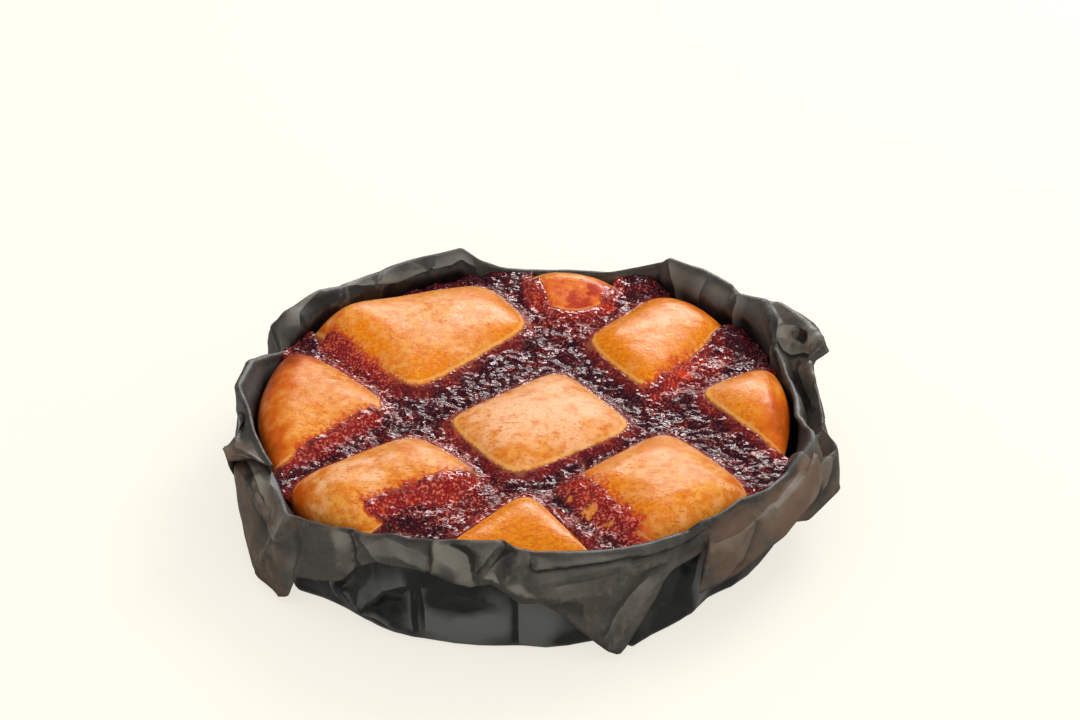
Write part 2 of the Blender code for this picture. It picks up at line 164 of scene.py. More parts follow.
TONE_END = 1.5  # how soon a pressed line fades out at its ends

# The room.
FLOOR_HALF = 4.0
FLOOR_GLOW = 0.75
FLOOR_LIGHT = 0.16  # the floor glows to the eye, but hardly lights the tart from below
FLOOR_GLOW_COLOUR = (1, 0.965, 0.875, 1)
FLOOR_UNSEEN, FLOOR_SEEN = (0.22, 0.216, 0.197, 1), (0.27, 0.256, 0.222, 1)
MIRRORED_ROOM = 0.2  # wet and glossy things mirror a darker room than the one that lights them
LIGHT_SIDE = (0.15, -0.75, 0.75)  # towards the lightest side of the room
ROOM_LEAN = (-0.5, 0.9)  # from its dark side to its light one, as a share of facing LIGHT_SIDE
ROOM_BRIGHTNESS = (0.32, 1.0)
ROOM_COLOUR = (1.0, 0.99, 0.965, 1)

# The soft lights, each a rectangle that faces the tart: its place, width and height in metres, its
# power, and whether it is mirrored in the tart or shines on it.
Panel = namedtuple("Panel", "name place size power mirrored")
PANELS = (
    Panel("window_behind", (0.25, 1.15, 0.72), (0.8, 0.32), 11, mirrored=True),
    Panel("lamp_right", (0.7, 0.75, 1.05), (0.7, 0.6), 10, mirrored=False),
)

# The photograph's view: its place and its axes, in the cake's own frame.
CAMERA_PLACE = (0, -571.64, 399.39)
CAMERA_RIGHT = (0.99997, -0.00671, 0.00409)
CAMERA_UP = (0, 0.52078, 0.85369)
SENSOR_WIDTH = 36
FOCAL_PIXELS, PICTURE_PIXELS = 2000, 1080

# Outlines of the pads: corners of convex shapes, anticlockwise, later rounded. Those of the rim
# pads reach past the rim, which cuts them.
PADS = {
    "centre": ((-28, -13), (-4, -48), (38.5, -17.5), (12.5, 20.5)),
    "upper_left": ((-37, 4), (4, 49), (-14, 81), (-86, 57)),
    "left": ((-44, -4), (-72, 29.5), (-100, 44), (-112, -10), (-96, -56)),
    "lower_left": ((-36.5, -19.5), (-90, -60), (-66, -92), (-12, -45)),
    "upper_right": ((20, 39), (43, 1), (90, 76), (58, 82)),
    "right": ((57, 5), (97, -50), (112, -7), (98, 31)),
    "lower_right": ((47.5, -17), (10, -51), (44, -87), (84, -71), (62, -33)),
    "front": ((1, -51), (-34, -91), (0, -112), (28, -93)),
    "back": ((18, 55), (33, 64), (38, 100), (0, 100), (3, 64)),
}

# Places where the batter stayed lower or higher: x, y, half-width, height.
SWELLS = (
    (-64, 50, 15, 3.0), (-38, -68, 11, -5.0), (18, 66, 9, -2.5), (28, -64, 8, -2.0), (0, -86, 20, -7.0),
)

# Places where the jam heaps up against the paper or over a pad: x, y, half-width, height.
JAM_HEAPS = (
    (44, 80, 11, 6.5), (2, 86, 12, 1.5), (74, 47, 8, 2.5), (-36, -66, 10, 1.5), (-50, 76, 13, -4.0),
)

# Where the jam lies as a thin red film up the side of a pad: both ends of a line and a half-width.
FILMS = (
    (-70, 37, -44, 4, 4.5), (-50, -11, -76, -40, 4.0), (-18, -50, -48, -68, 5.4), (70, 30, 46, 3, 6.0),
    (15, -52, 36, -82, 5.5), (1, 84, 5, 64, 4.0), (35, 84, 32, 64, 4.0),
)

# Where the crust baked to a deeper orange (above 0) or stayed pale: x, y, half-width and amount.
BROWNED = (
    (-6, 50, 15, 1.5), (-34, 14, 12, 0.9), (-48, 34, 12, 0.7), (-60, 34, 10, 0.5), (-86, 6, 20, 0.5),
    (-84, -30, 16, 0.7), (4, -18, 28, -1.25), (29, 24, 13, 1.0), (42, 10, 11, 0.9), (52, 46, 26, 1.3),
    (-56, -48, 22, -0.6), (2, -80, 40, 1.4), (-62, -72, 18, 0.1), (86, -10, 18, 1.3),
    (60, -64, 20, -0.2), (22, 68, 16, 0.6),
)

# Where the crust scorched dark against the paper, in the same way.
SCORCHED = (
    (-88, 20, 26, 1.3), (-84, -30, 16, 0.8), (-74, -52, 10, 0.6), (93, -16, 16, 1.2), (84, 28, 16, 0.9),
    (72, -52, 12, 0.6), (-78, 36, 14, 0.8), (66, 62, 14, 0.7),
)

# Where juice soaked into the crust.
SOAKED = (
    (18, 66, 9, 0.85), (11, 74, 5, 0.6), (27, 73, 5, 1.1), (22, 60, 8, 0.7), (-32, -62, 7, 0.4),
    (60, 24, 6, 0.5), (36, -76, 5, 0.6),
)

# Where the jam is a lighter red, where a crumb of the cake lies bare in it, and where a chip of
# fruit glows in it.
REDDER = (
    (-58, 22, 14, 0.9), (-20, -60, 14, 0.8), (26, -66, 14, 0.9), (-28, -30, 12, 0.7), (20, 60, 18, 0.7),
    (58, 18, 12, 0.6), (-50, -30, 12, 0.5),
)
CRUMBS = (
    (20.5, -64, 3.2, 0.9), (26, -70, 2.8, 0.65), (14.5, -57, 1.8, 0.7),
)
CHIPS = (
    (55.5, 17, 3.0, 1.3), (51, 11, 2.2, 0.7), (-22, -56, 3.5, 0.7), (30, 64, 3.5, 0.8),
    (62, 27, 3.0, 0.7),
)

# Where fat and heat browned the paper.
STAINED = (
    (66, -78, 13, 0.9), (86, -54, 20, 1.1), (98, -20, 16, 0.6), (-96, -40, 18, 0.7),
    (-80, -62, 14, 0.5), (60, 76, 18, 0.5), (104, 30, 16, 0.5),
)

# The folds of the paper, in order round the rim from the left side through the front, the right
# and the back. Each is a line over the sheet: the radius of the wall's foot, then angle, radius
# and height of the crest and of the free edge, and where the collar doesn't hang straight
# between them, of a valley and of an outer lip. A shoulder is the wall's last radius and height.
Fold = namedtuple("Fold", "foot crest edge valley lip shoulder", defaults=(None, None, None))

FOLDS = (
    # Left side: a narrow band that widens to a flap standing out from the rim.
    Fold(91, (-172, 92.8, 39.5), (-173, 96.4, 24), lip=(-173, 94.8, 37)),
    Fold(91, (-164, 92.5, 39.5), (-168, 101, 31), lip=(-165.5, 98, 36.8)),
    Fold(91, (-156, 92.0, 38.8), (-162.5, 103, 36.5), valley=(-158, 96, 38.4), lip=(-160.5, 100, 37.6)),
    Fold(91, (-151.5, 91.8, 38.2), (-158, 103.2, 35.6), valley=(-155, 95, 37.8), lip=(-157, 100, 36.8)),
    # The tuck under that flap, and the low left panel that comes out of it.
    Fold(91, (-155.5, 91.2, 35.0), (-163, 99.0, 22), valley=(-159, 94, 34.4), lip=(-163.5, 98.4, 32.6)),
    Fold(92, (-152.0, 91.8, 34.6), (-149.5, 103.2, 7), valley=(-157, 96, 34.0), lip=(-160, 101.2, 31.4)),
    Fold(94, (-147.0, 93.0, 34.0), (-147, 103.6, 5), valley=(-150, 96.5, 33.4), lip=(-152, 99.8, 32.0)),
    # Front left: the corner crease, the broad hanging panel and the short lifted stretch.
    Fold(96, (-140.5, 96.6, 32.2), (-145.2, 103.7, 4), lip=(-141.7, 98.6, 28.6)),
    Fold(94.5, (-138.6, 96.2, 32.8), (-141.0, 101.2, 1.8), lip=(-139.6, 98.4, 24.0)),
    Fold(93, (-136.4, 95.8, 33.4), (-138.2, 99.8, 3.4)),
    Fold(92, (-133.3, 95.0, 34.3), (-136.5, 100.0, 12.5)),
    Fold(91.5, (-128.5, 94.6, 36.3), (-130.5, 99.0, 16.5)),
    Fold(92, (-124.0, 94.0, 38.0), (-124.8, 98.0, 20.5)),
    Fold(92.5, (-120.8, 94.0, 38.4), (-121.5, 97.5, 28)),
    Fold(93, (-117.9, 94.0, 40.1), (-117.2, 97.0, 33)),
    Fold(92.5, (-114.4, 94.0, 42.0), (-112.6, 97.0, 32.8)),
    Fold(92, (-111.8, 94.0, 41.3), (-109.3, 97.0, 33.1)),
    Fold(91.5, (-105.6, 94.0, 43.3), (-105.6, 97.2, 33)),
    Fold(91, (-100.8, 94.0, 44.6), (-102.8, 97.5, 31)),
    Fold(90.5, (-97.5, 94.0, 45.0), (-99.2, 98.0, 29.5)),
    Fold(90, (-94.1, 94.0, 45.6), (-96.0, 97.4, 32)),
    Fold(90, (-92.4, 93.8, 43.2), (-94.0, 97.4, 29.8)),
    # Front: the large corner flap under a narrow hem, down to its point on the table.
    Fold(91.2, (-88.0, 94.0, 41.2), (-90.9, 97.0, 24.5), valley=(-88.2, 96.4, 35.6)),
    Fold(91, (-83.5, 94.0, 41.0), (-87.0, 98.0, 25.2), valley=(-83.0, 96.6, 35.8)),
    Fold(90, (-76.0, 94.0, 39.9), (-82.0, 98.3, 17), valley=(-74.6, 96.7, 36.2)),
    Fold(96.5, (-71.5, 94.0, 39.5), (-76.8, 99.0, 7), valley=(-70.2, 96.6, 36.6)),
    Fold(94, (-67.0, 94.0, 39.2), (-72.6, 98.5, 1.5), valley=(-67.2, 96.5, 37.0)),
    Fold(93, (-63.0, 94.0, 39.2), (-66.3, 98.5, 21), valley=(-63.1, 96.2, 37.0)),
    Fold(92.3, (-59.8, 93.8, 39.0), (-63.3, 97.2, 29.5), valley=(-59.9, 95.9, 36.8)),
    # The recess beside it, where the wall shows.
    Fold(91.6, (-57.4, 92.2, 37.0), (-56.6, 94.6, 28.0)),
    Fold(90.5, (-54.6, 93.6, 39.8), (-53.4, 95.4, 31.0)),
    # Front right: one long smooth flap over a second one.
    Fold(89, (-51.0, 95.2, 40.6), (-57.8, 100.0, 17), lip=(-55.0, 99.6, 31.5)),
    Fold(90, (-45.2, 95.0, 41.3), (-49.3, 102.0, 20.5)),
    Fold(91, (-40.0, 95.2, 39.2), (-44.6, 103.2, 24.6)),
    Fold(91.5, (-35.2, 95.0, 37.0), (-38.6, 104.2, 25.6)),
    Fold(92, (-28.5, 95.4, 36.2), (-33.0, 105.2, 28.6)),
    Fold(92, (-21.5, 96.6, 38.5), (-24.0, 106.2, 28.8), lip=(-21.0, 101.2, 38.0)),
    Fold(92, (-25.5, 94.6, 35.0), (-30.5, 101.0, 21), lip=(-27.5, 99.0, 32.4)),
    Fold(92, (-21.5, 96.2, 35.4), (-27.0, 104.0, 18.5), lip=(-22.5, 102.2, 31.5)),
    Fold(92, (-16.5, 97.4, 36.8), (-17.2, 109.6, 21), lip=(-16.3, 107.0, 35.4)),
    # Right: an inner ridge, a hollow behind it and a raised outer flap.
    Fold(92, (-13.2, 97.0, 37.6), (-12.5, 106.0, 22), valley=(-13.2, 98.8, 36.2), lip=(-11.8, 101.0, 38.4)),
    Fold(91.5, (-8.0, 91.6, 36.8), (-8.0, 105.0, 22), valley=(-8.0, 95.8, 27), lip=(-8.5, 100.4, 39.2)),
    Fold(91.5, (-1.0, 91.8, 36.8), (-1.0, 104.0, 22), valley=(-1.0, 95.5, 27), lip=(-2.0, 99.2, 40.4)),
    Fold(91.5, (5.0, 91.8, 37.2), (5.0, 103.6, 22), valley=(5.0, 95.6, 28), lip=(3.5, 98.6, 41.6)),
    Fold(91.5, (12.5, 91.9, 38.0), (10.5, 104.0, 25), valley=(11.0, 95.8, 31), lip=(8.6, 99.2, 43)),
    Fold(91.5, (14.5, 92.1, 38.6), (10.0, 101.6, 38.5), valley=(12.6, 96.4, 33), lip=(9.4, 100.6, 43.8)),
    Fold(91.5, (17.5, 92.4, 39.6), (11.5, 108.0, 41.5), valley=(15.0, 97.5, 36), lip=(10.4, 106.0, 45.2)),
    Fold(91.5, (23.5, 95.4, 43.6), (19.0, 108.0, 31), valley=(21.5, 99.0, 42.4), lip=(17.4, 105.2, 45.8)),
    Fold(91.5, (29.6, 98.8, 46.6), (28.5, 106.0, 29), valley=(29.0, 100.2, 46.0), lip=(27.6, 102.4, 46.2)),
    Fold(91.5, (36.6, 96.6, 44.4), (37.0, 102.0, 26)),
    # Right of the back: a high smooth panel that ends in a step.
    Fold(91.5, (38.6, 98.2, 43.6), (39.5, 103.4, 25)),
    Fold(91.5, (47.0, 97.2, 45.6), (47.0, 102.6, 27)),
    Fold(91.5, (55.6, 95.6, 47.5), (55.6, 101.6, 29)),
    Fold(91.5, (57.6, 93.4, 44.6), (58.6, 98.0, 28)),
    # Back: the lowest stretch, level with the jam.
    Fold(91.5, (64.0, 93.2, 40.4), (64.5, 98.4, 23)),
    Fold(91.5, (70.0, 93.2, 36.2), (70.5, 98.4, 19)),
    Fold(91.5, (80.0, 93.2, 33.8), (80.0, 98.6, 17)),
    Fold(91.5, (89.5, 93.2, 33.2), (89.0, 98.6, 16)),
    Fold(91.5, (95.7, 93.2, 35.2), (95.0, 99.0, 15)),
    Fold(91.5, (100.2, 93.8, 38.8), (99.6, 99.0, 14)),
    # Left of the back: the rim leans out in a wide band, with the sheet's back corner.
    Fold(91.5, (103.6, 100.4, 41.4), (104.0, 105.4, 9), shoulder=(93.4, 36.6)),
    Fold(91.5, (113.0, 100.2, 39.8), (111.0, 105.0, 16), shoulder=(93.6, 35.4)),
    Fold(91.5, (121.0, 99.0, 39.4), (120.0, 103.6, 22), shoulder=(93.4, 36.0)),
    Fold(91.5, (129.0, 97.2, 39.4), (129.0, 102.4, 23), shoulder=(93.4, 36.4)),
    Fold(91.5, (139.4, 97.6, 41.6), (139.0, 102.2, 25), shoulder=(92.8, 36.4)),
    Fold(91.5, (149.8, 99.6, 41.0), (149.0, 103.6, 26), shoulder=(92.4, 36.0)),
    Fold(91.5, (153.6, 100.8, 37.6), (153.0, 104.4, 27), shoulder=(92.4, 34.0)),
    Fold(91.5, (157.8, 92.9, 33.0), (158.6, 98.2, 19), shoulder=(92.0, 29.5)),
    # Back of the left side.
    Fold(91.5, (167.5, 96.4, 38.0), (167.0, 101.0, 22), shoulder=(92.2, 32.0)),
    Fold(91.5, (177.6, 96.8, 38.8), (177.0, 98.6, 23), shoulder=(92.4, 32.5)),
)

# The rim of the crumpled roll at the right, a crease that is also a pressed line.
ROLL_RIM = (
    (318.3, 8.5, 1.2), (319.2, 11.9, 1.5), (317.4, 15.3, 1.7), (314.8, 15.5, 1.4), (312.8, 16.4, 1.7),
    (313.9, 13.0, 1.2), (316.6, 9.1, 1.2), (318.3, 8.5, 1.2),
)

# The creases pressed into the paper, each a line of places on the sheet: millimetres round the
# rim from the left side, millimetres down the collar from the crest (below 0: down the wall), and
# how far the paper stands out there.
CREASES = (
    # Left panel and its corner.
    ((34, 4, 0.8), (39.5, 9, 1.4), (44, 10, 1.4), (49, 6, 1.2)),
    ((37, 13, -0.8), (42, 15, -1.0), (47, 17, -1.0), (49.5, 25, -0.4)),
    ((52.8, 2, 1.0), (52.7, 7, 1.8), (52.0, 16, 1.8), (50.8, 30, 1.8)),
    ((57, 5, -0.8), (58.5, 13, -0.9), (60, 22, -0.4)),
    ((66, 3, 0.5), (67, 10, 0.7), (70, 15, 0.5)),
    ((73.5, 1.5, 0.7), (76, 6, 1.0), (78.5, 14, 1.1)),
    ((77.0, 1.5, -1.2), (80.0, 5, -1.6), (82.0, 10, -1.6), (83.5, 16, -1.0)),
    ((81.5, 1.5, 0.9), (84.6, 5, 1.2), (86.6, 10, 1.1), (88, 14, 0.6)),
    ((90, 6.5, 0.9), (95, 7, 1.0), (100, 8, 0.9), (104, 9.5, 0.7)),
    ((92, 1.5, -0.4), (98, 3.5, -0.7), (103, 4, -0.5)),
    # Front: a pale panel between dark creases, then the hem over the corner flap.
    ((106.0, 2, -0.6), (106.6, 6, -0.8), (106.2, 10, -0.5)),
    ((108.2, 1.5, 1.0), (109.0, 5, 1.3), (108.6, 10, 1.1)),
    ((112.7, 2, -0.8), (116, 3.8, -1.5), (119.4, 6, -1.7), (121.4, 10, -1.6), (122.8, 14, -1.0)),
    ((117, 10, 0.8), (118.4, 14, 0.6)),
    ((119, 1.5, 0.9), (123.4, 5, 1.1), (125, 9, 0.8)),
    ((128.0, 1.5, 1.4), (127.4, 6, 1.2), (126.0, 12, 0.9)),
    ((131.4, 2, -1.5), (130.2, 6.5, -1.6), (128.6, 11, -1.0)),
    ((134.6, 2, 0.8), (133.6, 7, 1.0), (131.8, 13, 0.8)),
    ((137.6, 1.5, -0.6), (137.6, 5.6, -1.1), (137.0, 12, -0.6)),
    ((139, 5.6, 0.6), (149.8, 4.4, 0.8), (160.6, 4.0, 0.8), (171, 3.7, 0.8), (184.0, 3.4, 0.5)),
    ((139.4, 6.6, -0.8), (149.8, 5.4, -1.0), (160.6, 5.0, -1.0), (171, 4.7, -1.0), (184.0, 4.4, -0.6)),
    ((142, 10.6, 0.2), (150, 9.6, 0.3), (161, 8.6, 0.3), (172, 8.2, 0.4), (181, 8.2, 0.2)),
    ((145, 17, 0.9), (151, 17.6, 1.2), (157, 16.8, 1.1), (163.5, 15.6, 0.7)),
    ((152, 23, -0.8), (157, 26, -1.1), (160.5, 31, -0.7)),
    ((175.0, 12, -1.0), (170.4, 18.4, -1.4), (167.9, 25.6, -1.4), (166.9, 33.5, -0.8)),
    ((178.0, 13.6, 1.0), (174.0, 19.4, 1.4), (171.4, 26.4, 1.4), (169.6, 35.0, 0.8)),
    # Front right: the brown flap under a narrow grey band.
    ((197, 3, -0.5), (207, 4, -0.7), (219, 3.4, -0.6), (237, 3.2, -0.3)),
    ((199, 9.4, 0.3), (209, 10, 0.5), (221, 6.6, 0.5), (240, 6.2, 0.3)),
    ((210, 21, 0.2), (221, 18, 0.4), (234, 16, 0.3)),
    ((256.3, 3.3, 0.9), (254, 11, 0.9), (251.8, 18.7, 0.7)),
    ((262, 6, -1.0), (265, 12, -1.0)),
    # Right: crumpled ridges inside and outside the hollow.
    ((276, 12, 1.2), (270, 7, 1.0)),
    ((285, 20, -0.8), (290, 14, -1.0), (294, 9, -0.8)),
    ((299, 18, 0.9), (303, 12, 1.0), (305, 6, 0.8)),
    ((312, -2.5, -1.0), (307.7, -7.4, -1.5), (297.2, -9.3, -1.5), (292.5, -12, -1.3), (291.3, -18.5, -0.8)),
    ((315, -6, 0.8), (306, -12, 0.9), (299, -16, 0.8)),
    # The crumpled roll at the right, and the hollow in it.
    ROLL_RIM,
    ((315.6, 12.6, -2.2), (316.8, 12.0, -2.2)),
    ((313.9, 1.5, 0.3), (312.4, 4.0, -1.0), (312.2, 8.0, -1.4), (311.2, 12.2, -1.4), (309.8, 14.9, -1.0)),
    # Back right: two panels that end in steps.
    ((342.8, -2, -1.0), (340, -6.5, -1.2), (336, -12, -0.9)),
    ((346, -2, 0.8), (343, -8, 1.0), (340, -13, 0.6)),
    ((358, -4, -0.7), (356, -12, -0.8)),
    ((371.7, -2, -1.3), (369.5, -7, -1.4), (368, -13, -0.8)),
    ((375.0, -2, 0.9), (373, -7, 1.0), (371, -13, 0.6)),
    # Back left: small facets along the band that leans out.
    ((470, -1.5, 0.7), (472, -5, 1.0)),
    ((478, -1.5, -0.7), (480, -6, -0.8)),
    ((487, -1.5, 0.6), (485, -6, 0.9)),
    ((497, -1.5, -0.8), (499, -6, -0.9)),
    ((507, -1.5, 0.7), (505, -6, 1.0)),
    ((517, -1.5, -0.7), (516, -7, -0.9)),
    ((540, -2, 0.8), (543, -8, 0.9)),
    # The wall under the front of the collar: a deep hollow with draped folds, and a pleat.
    (
        (66, -23, 0.6), (70.8, -25.8, 1.0), (75.4, -29.4, 1.6), (78.2, -32.8, 1.8), (83.4, -32.2, 1.6),
        (88.5, -34.4, 1.4),
    ),
    ((58, -33, -0.8), (68, -36, -1.0), (79, -38.5, -0.6)),
    ((54, -25.5, 0.5), (60.5, -25.0, 0.8), (64.6, -27.6, 0.8)),
    ((64.0, -19, 0.8), (65.9, -23.6, 1.2)),
    ((68.5, -19, -0.8), (71.0, -22.4, -1.2)),
    ((80.2, -29.0, 1.2), (81.6, -27.4, 1.6), (88.5, -20.6, 2.2), (96.4, -19.0, 1.4)),
    ((85.0, -29.0, -1.4), (88.0, -27.0, -2.0), (92.5, -27.5, -1.6)),
    ((95.8, -23, 1.4), (96.2, -30, 1.5), (96.6, -37, 0.8)),
    ((100.4, -19, -0.5), (101.0, -28, -0.6), (101.4, -37, -0.4)),
    ((112, -25.5, -1.1), (117, -28, -1.4), (123, -31.5, -0.8)),
    ((113, -15, -0.9), (119, -18, -1.1), (124, -21.5, -0.6)),
    ((111, -20, 0.7), (118, -23, 0.9), (124, -26, 0.7)),
    ((128.6, -12, -0.4), (128.8, -22, -0.6), (129.0, -31, -0.6), (129.2, -37, -0.4)),
    ((131.4, -11, 0.9), (131.4, -20, 1.2), (131.4, -30, 1.2), (131.2, -38, 0.8)),
    ((143, -30, 0.6), (150, -33, 0.9), (158, -37, 0.6)),
    ((185.9, -9, -1.0), (184, -17, -1.3), (180, -27, -1.0)),
    ((190.4, -10, 1.1), (190.5, -22, 1.6), (189, -33, 1.1)),
    ((199, -28, -0.9), (205, -33, -0.9)),
    ((206, -26, 0.9), (212, -32, 0.9)),
)

# Creases whose two sides differ crisply in painted light and shade: the line, then tone and fading width
# on its two sides. The first side is below a line that runs right, and left of one that runs down.
Pressed = namedtuple("Pressed", "line first second")

PRESSED = (
    # The collar, from the left side.
    Pressed(((29.6, 11.7), (41.7, 7.4), (50, 5.5)), (-0.7, 9), (0.8, 4)),
    Pressed(((27.7, 13.2), (26.9, 3.7)), (-0.5, 3), (0.3, 3)),
    Pressed(((52.8, 1), (52.5, 10.8), (50.5, 33.5)), (0.8, 4), (-0.5, 8)),
    Pressed(((77.5, 0.6), (81.5, 4.7), (84.1, 9.6), (86, 16)), (0.6, 5), (-1.1, 4)),
    Pressed(((83.0, 0.8), (87.9, 5.3), (90.5, 9)), (-0.5, 3), (0.4, 4)),
    Pressed(((108.2, 0.6), (109.2, 6), (107.4, 9.5)), (-0.35, 4), (0.9, 5)),
    Pressed(((112.7, 1.2), (119.4, 5.7), (122.8, 14.5)), (0.3, 3), (-0.8, 4)),
    Pressed(((128.5, 0.6), (122.6, 12)), (0.5, 4), (-0.7, 5)),
    Pressed(((132.9, 1.3), (126.2, 11.5)), (-0.7, 3), (0.7, 4)),
    Pressed(((137.7, 0.6), (137.7, 6.0)), (0.4, 3), (-0.5, 2.5)),
    Pressed(((138.4, 6.6), (149.8, 5.0), (160.6, 4.5), (184.8, 4.1)), (-1.3, 1.1), (0.45, 3)),
    Pressed(((146, 12), (156, 10.4), (172, 7.6)), (0.3, 4), (-0.4, 3)),
    Pressed(((175.6, 12), (170.4, 18.4), (167.9, 25.6), (166.7, 35)), (-0.6, 4), (0.6, 4)),
    Pressed(((150, 17.5), (158, 20), (161, 28)), (-0.5, 5), (0.35, 4)),
    Pressed(((198, 9.4), (208, 10), (221, 5.4), (240, 3.4)), (0.4, 5), (-0.45, 4)),
    Pressed(((205, 26), (213, 12), (216, 6)), (-0.5, 3), (0.3, 4)),
    Pressed(((257, 1.5), (256.3, 3.3), (251.8, 18.7), (237.2, 14.3)), (0.5, 6), (-1.0, 5)),
    Pressed(((295.7, -2.4), (303.8, -1.3), (310.3, 0.0), (316.6, 1.2), (323.5, 3.5)), (0.8, 4), (-1.0, 6)),
    Pressed(((277.3, 18.8), (290.8, 13.8), (305.0, 13.3), (311.3, 9.1)), (0.3, 5), (-1.0, 4)),
    Pressed(((319.2, 2.2), (320.9, 6.6), (320.0, 11.5)), (1.2, 3), (-0.5, 3)),
    Pressed(((313.9, 0.6), (312.4, 4.0), (312.6, 8.0), (312.0, 12.2), (310.3, 14.9)), (-1.6, 3), (1.2, 3)),
    Pressed(ROLL_RIM, (-1.9, 9), (0.7, 3)),
    Pressed(((276, 14), (270, 6)), (-0.6, 3), (0.6, 3)),
    # The wall inside, at the right and the back.
    Pressed(((312.2, -1.5), (307.7, -7.4), (297.2, -9.3), (291.6, -17)), (-0.6, 4), (0.8, 1.6)),
    Pressed(((341, -1), (338, -4.4), (335.2, -11.4), (334, -16)), (-0.9, 4), (0.6, 4)),
    Pressed(((371.7, -1), (364.6, -9.2), (361.1, -17.8)), (-1.0, 4), (0.5, 4)),
    Pressed(((356, -1.5), (353, -11)), (0.3, 4), (-0.4, 4)),
    Pressed((
        (443, -3.0), (451.7, -6.6), (465.5, -6.3), (472.7, -7.2), (480.7, -4.8), (489.6, -1.4),
        (503.9, 0.6), (509.3, -0.7), (516.4, -3.0), (520, -8.2),
    ), (0.8, 6), (-1.5, 16)),
    Pressed(((467.3, 0.5), (460.2, -5.4)), (0.3, 5), (-0.4, 5)),
    Pressed(((478.9, 1.0), (481.6, -3.8)), (-0.5, 4), (0.5, 4)),
    Pressed(((497, 1.5), (494, -1)), (-0.4, 4), (0.4, 4)),
    # The wall outside, at the front.
    Pressed(((54, -25.5), (60.5, -25.0), (65.9, -28.4), (69, -31.5)), (1.0, 1.0), (-0.7, 3)),
    Pressed(((64.5, -20.5), (65.9, -23.6), (66.9, -26.7), (68.8, -30.8)), (1.6, 1.6), (-0.8, 3)),
    Pressed(((69.8, -25.1), (72.7, -22), (75.4, -18.4)), (-1.2, 4), (0.5, 3)),
    Pressed((
        (70.8, -25.8), (75.4, -29.4), (78.2, -32.8), (83.4, -32.2), (88.5, -34.4), (91.5, -38),
    ), (1.1, 1.8), (-0.9, 5)),
    Pressed(((78.6, -31.0), (81.3, -27.6), (88.5, -20.6), (96.4, -19.0)), (0.9, 10), (-1.3, 11)),
    Pressed(((97.0, -19.5), (97.2, -37)), (-0.9, 2.5), (0.6, 4)),
    Pressed(((99.8, -18.5), (100.8, -27.5), (100.9, -36.5)), (0.7, 8), (-0.5, 2)),
    Pressed(((130.2, -17), (130.4, -42)), (1.0, 14), (-1.5, 3)),
    Pressed(((190, -12), (187, -22), (181, -32)), (0.7, 5), (-0.9, 4)),
)

# Painted light and shade on the paper, where it is painted lighter (above 0) or darker: millimetres
# round and down, the half-widths both ways, and the amount.
SHADES = (
    (118, 5, 8, 6, 0.5), (123, 13, 5, 4, 0.25), (131, 5, 2.6, 6, -0.9), (80.5, 6, 2.2, 8, -0.7),
    (92, 10, 5, 3, 0.25), (173, 24, 4, 10, 0.25), (150, 16, 9, 5, 0.2), (166, 9, 16, 2.4, -0.35),
    (42, 8, 8, 4, 0.5), (45, 19, 5, 10, -0.4), (79, -21, 6, 5, 0.15), (69, -29, 9, 6, -0.6),
    (87, -28, 6, 5, -0.9), (90, -38, 8, 2.5, -0.6), (102.8, -15.5, 2.6, 2.2, -1.4),
    (105, -24, 4, 4, -0.9), (110, -22, 6, 4, -0.7), (114, -28, 3.4, 3, -0.6),
    (114, -36.5, 14, 6.5, 1.5), (124, -30, 4, 6, 0.6), (138, -25, 9, 13, 0.9), (151, -38, 7, 4, -1.2),
    (184, -24, 3.4, 14, -1.2), (192, -24, 5, 12, 1.3), (203, -31, 8, 5, 0.5), (352, -5, 22, 6, 0.5),
    (400, -3, 20, 3, 0.2), (490, 1, 34, 2.5, 0.5), (317.5, 5.5, 4, 2.5, 1.3), (314, 19, 4, 2.5, 0.9),
    (206, 4, 20, 3.5, -0.5),
)


# -------- forms

def ramp(value, start, end):
    """0 up to start, 1 from end on, and even between them."""
    return np.clip((value - start) / (end - start), 0, 1)


def bumps(places, x, y):
    """The sum of round swellings, each x, y, half-width and height."""
    total = np.zeros_like(x)
    for centre_x, centre_y, width, height in places:
        total += height * np.exp(-((x - centre_x) ** 2 + (y - centre_y) ** 2) / width**2)
    return total


def beside_line(start, end, x, y):
    """How far points lie along a line and to its left, and the line's length."""
    run_x, run_y = end[0] - start[0], end[1] - start[1]
    length = math.hypot(run_x, run_y)
    along = ((x - start[0]) * run_x + (y - start[1]) * run_y) / length
    across = ((y - start[1]) * run_x - (x - start[0]) * run_y) / length
    return along, across, length


def inside_pad(corners, x, y):
    """How far a point lies inside a convex outline whose corners are softly rounded."""
    total = np.zeros_like(x)
    for start, end in zip(corners, corners[1:] + corners[:1]):
        _, inside, _ = beside_line(start, end, x, y)
        total += np.exp(np.clip(-inside / CORNER_SOFTNESS, -60, 60))  # within what exp() can hold
    return -CORNER_SOFTNESS * np.log(total)


def inside_any_pad(x, y):
    return np.max([inside_pad(corners, x, y) for corners in PADS.values()], axis=0)


def cake_top(x, y):
    """Height of the baked surface without its grain."""
    inside = inside_any_pad(x, y) + PAD_SKIRT
    puff = 1 - np.exp(-np.maximum(inside, 0) / PUFF_LENGTH)
    towards_rim = ramp(np.hypot(x, y), RIM_ROUND_START, RIM_ROUND_END)
    rounding = RIM_ROUND_LEFT + (1 - RIM_ROUND_LEFT) * np.sqrt(1 - towards_rim**2)
    return GROOVE_FLOOR + (PAD_RISE + bumps(SWELLS, x, y)) * puff * rounding


def waves(layers, x, y):
    """The sum of layers of smooth noise, each from about -1 to 1 times its height."""
    total = np.zeros_like(x)
    for height, size, shift, stretch in layers:
        places = zip(x / stretch / size, y / size)
        total += height * np.array([noise.noise(Vector((*place, shift))) for place in places])
    return total


